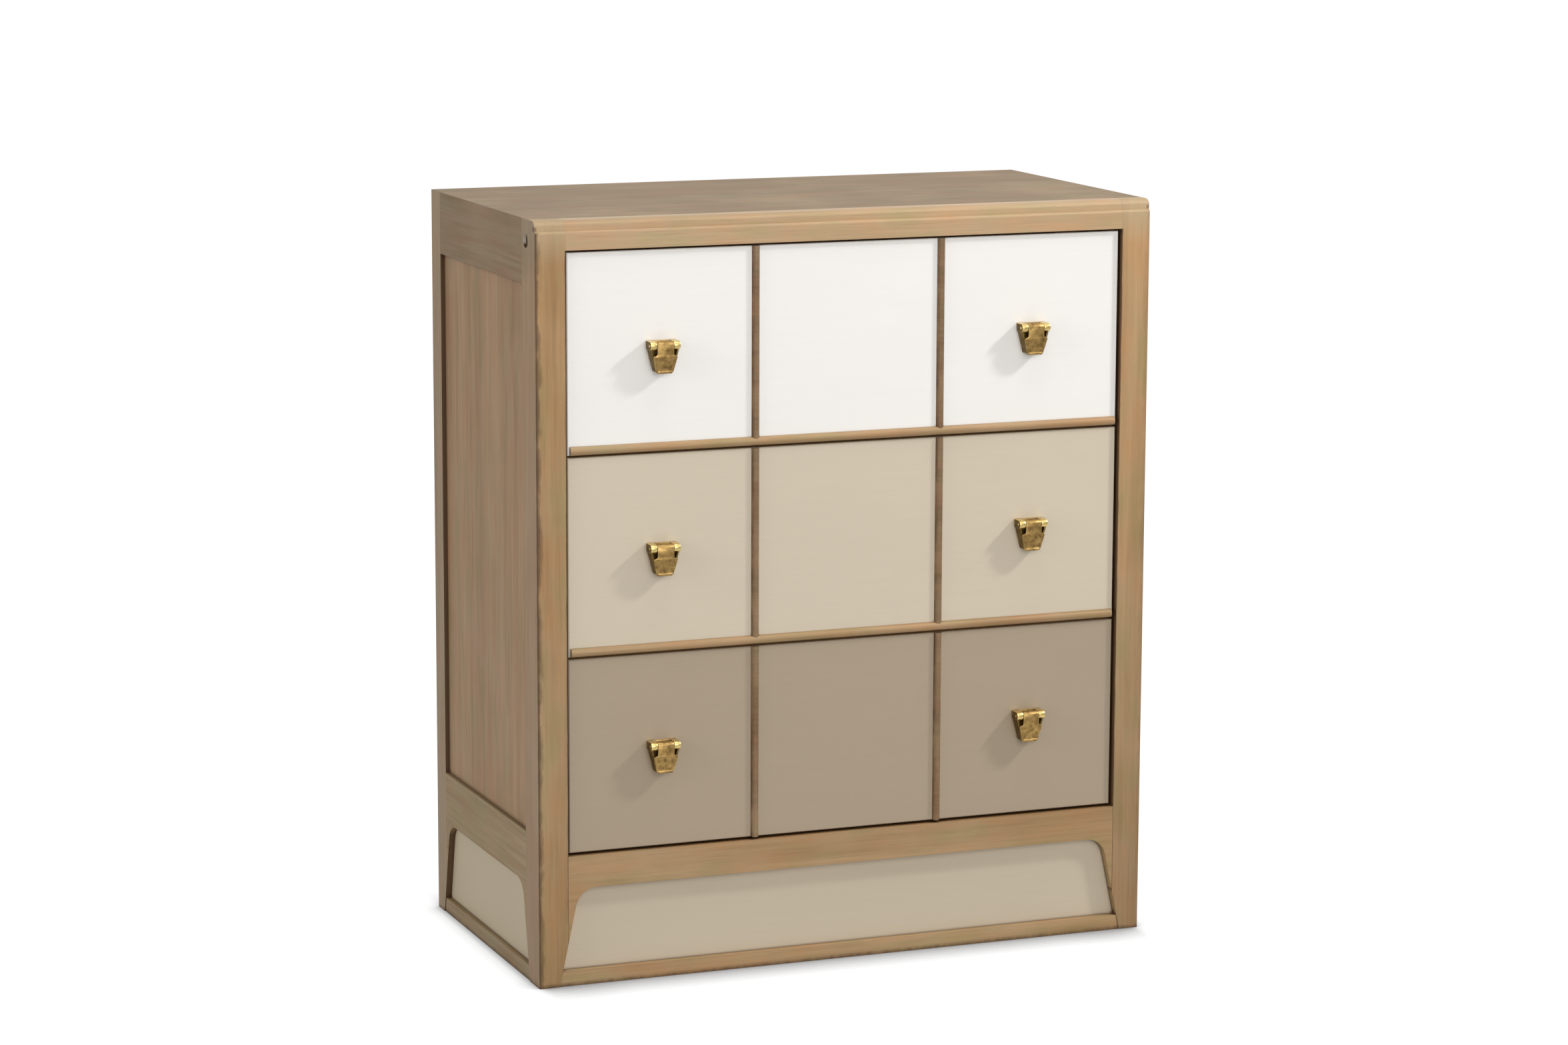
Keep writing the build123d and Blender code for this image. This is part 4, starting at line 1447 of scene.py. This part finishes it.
@dataclass
class Studio:
    """Floor, surroundings, lamps and camera."""

    lens: float = 99.4
    sensor: float = 36.0
    clip_end: float = 200.0
    camera_place: Triple = (-2.2319, -5.6231, 1.6436)
    yaw: float = 21.589
    pitch: float = 9.984
    roll: float = 0.206
    room_low: float = 0.42
    room_high: float = 0.16
    gloss_front: float = 0.28
    gloss_floor: float = 0.4
    gloss_depth: Range = (-1.2, -0.2)
    floor_size: float = 160.0
    floor_glow: float = 0.98
    floor_grey: float = 0.45
    lit_grey: float = 0.15
    shadow_band: Range = (0.02, 0.5)
    # The painted contact shadow under the chest, and the narrower one beside it
    under_reach: float = 0.1
    under_share: float = 0.15
    beside_reach: float = 0.035
    beside_share: float = 0.6
    beside_from: Range = (0.44, 0.46)
    lamps: tuple[Softbox, ...] = (
        Softbox("key_softbox", (2.9, -1.45, 3.0), 0.4, 80.0),
        Softbox("front_softbox", (-0.3, -4.2, 1.7), 2.5, 72.0),
        Softbox("left_softbox", (-4.2, -0.9, 2.0), 2.0, 47.0),
        Softbox("top_softbox", (0.0, -0.7, 3.0), 0.8, 10.0, (0.0, -0.2, 1.0)),
        Softbox("back_softbox", (1.2, 4.6, 2.2), 2.5, 60.0, mirrored=False),
    )

    def build(self) -> None:
        """Makes everything round the chest."""
        self.surroundings()
        self.floor()
        for lamp in self.lamps:
            lamp.build()
        self.camera()
        bpy.context.scene.view_settings.view_transform = "Standard"

    def surroundings(self) -> None:
        """White as the lens sees it, a soft room as its light, and a dim front for gloss."""
        world = bpy.data.worlds.new("studio_room")
        bpy.context.scene.world = world
        world.use_nodes = True
        graph = Graph(world.node_tree)
        ray = graph.node("LightPath").outputs
        _, y, z = graph.parts("Generated")
        room = graph.spread(z, (0.0, 1.0), (self.room_low, self.room_high))
        behind = graph.spread(y, (0.0, 0.5), (self.gloss_front, 1.0))
        above = graph.spread(z, (0.1, 0.6), (self.gloss_front, 1.0))
        gloss = graph.maths("MAXIMUM", behind, above)
        seen = graph.choose(ray["Is Glossy Ray"], room, gloss)
        clear = graph.maths("MAXIMUM", ray["Is Camera Ray"], ray["Is Transmission Ray"])
        strength = graph.choose(clear, seen, 1.0)
        light = graph.node("Background", Color=(1.0, 1.0, 1.0, 1.0), Strength=strength)
        graph.node("OutputWorld", Surface=light.outputs["Background"])

    def floor(self) -> None:
        """Lays a white floor that keeps the chest's soft cast shadow, with a painted contact shadow in
        its glow.
        """
        mesh = bpy.data.meshes.new("studio_floor")
        shape = bmesh.new()
        bmesh.ops.create_grid(shape, x_segments=1, y_segments=1, size=self.floor_size / 2)
        shape.to_mesh(mesh)
        shape.free()
        floor = bpy.data.objects.new("studio_floor", mesh)
        bpy.context.scene.collection.objects.link(floor)
        mesh.materials.append(self.floor_finish())

    def floor_finish(self) -> bpy.types.Material:
        """Makes the floor's finish: glowing white to the lens and to gloss, grey to other light, with
        its glow dimmed near the chest as painted shadow.

        Returns:
            The new material.
        """
        shader = Shader("studio_floor_white")
        ray = shader.node("LightPath").outputs
        seen = shader.maths("MAXIMUM", ray["Is Camera Ray"], ray["Is Glossy Ray"])
        seen = shader.maths("MAXIMUM", seen, ray["Is Transmission Ray"])
        paper = shader.node("BsdfDiffuse", Color=(*(self.floor_grey,) * 3, 1.0))
        lit = shader.node("BsdfDiffuse", Color=(*(self.lit_grey,) * 3, 1.0))
        x, y, _ = shader.parts("Object")
        under, beside = (
            # Painted contact shadow: the glow dims where the chest occludes the floor
            shader.spread(
                shader.recess(reach), self.shadow_band, (self.floor_glow, self.floor_glow * share)
            )
            for reach, share in (
                (self.under_reach, self.under_share), (self.beside_reach, self.beside_share)
            )
        )
        aside = shader.spread(shader.maths("ABSOLUTE", x), self.beside_from)
        bright = shader.choose(aside, under, beside)
        dimmed = shader.times(bright, shader.spread(y, self.gloss_depth, (self.gloss_floor, 1.0)))
        strength = shader.choose(ray["Is Glossy Ray"], bright, dimmed)
        glow = shader.node("Emission", Strength=strength)
        both = shader.node("AddShader")
        shader.link(lit.outputs["BSDF"], both.inputs[0])
        shader.link(glow.outputs["Emission"], both.inputs[1])
        choice = shader.node("MixShader", Fac=seen)
        shader.link(paper.outputs["BSDF"], choice.inputs[1])
        shader.link(both.outputs["Shader"], choice.inputs[2])
        shader.link(choice.outputs["Shader"], shader.output.inputs["Surface"])
        shader.tree.nodes.remove(shader.surface)
        return shader.material

    def camera(self) -> None:
        """Sets up the photograph's point of view."""
        data = bpy.data.cameras.new("camera")
        data.lens = self.lens
        data.sensor_width = self.sensor
        data.clip_end = self.clip_end
        camera = bpy.data.objects.new("camera", data)
        bpy.context.scene.collection.objects.link(camera)
        turn = (
            Matrix.Rotation(-math.radians(self.yaw), 4, "Z")
            @ Matrix.Rotation(math.radians(90 - self.pitch), 4, "X")
            @ Matrix.Rotation(math.radians(self.roll), 4, "Z")
        )
        camera.matrix_world = Matrix.Translation(self.camera_place) @ turn
        bpy.context.scene.camera = camera


def main() -> None:
    """Builds the scene in order."""
    logging.basicConfig(level=logging.INFO, format="%(message)s")
    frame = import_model()
    nodes = frame["nodes"]
    slots = {part["node"]: part["material_slot"] for part in frame["record"]["subparts"]}
    Case().build(nodes, slots)
    metals = brass_finishes()
    for drawer in (
        Drawer("top", Lacquer(Tone(247, 244, 239), stroke=0.03), 0.1, "offwhite_lacquer"),
        Drawer("middle", Lacquer(Tone(213, 200, 178)), 0.4, "beige_lacquer"),
        Drawer("bottom", Lacquer(Tone(174, 157, 134)), 0.7, "taupe_lacquer"),
    ):
        drawer.build(nodes, metals)
    Plinth().build(nodes)
    BackScrews().build(metals[Metal.POLISHED])
    Studio().build()


if __name__ == "__main__":
    main()
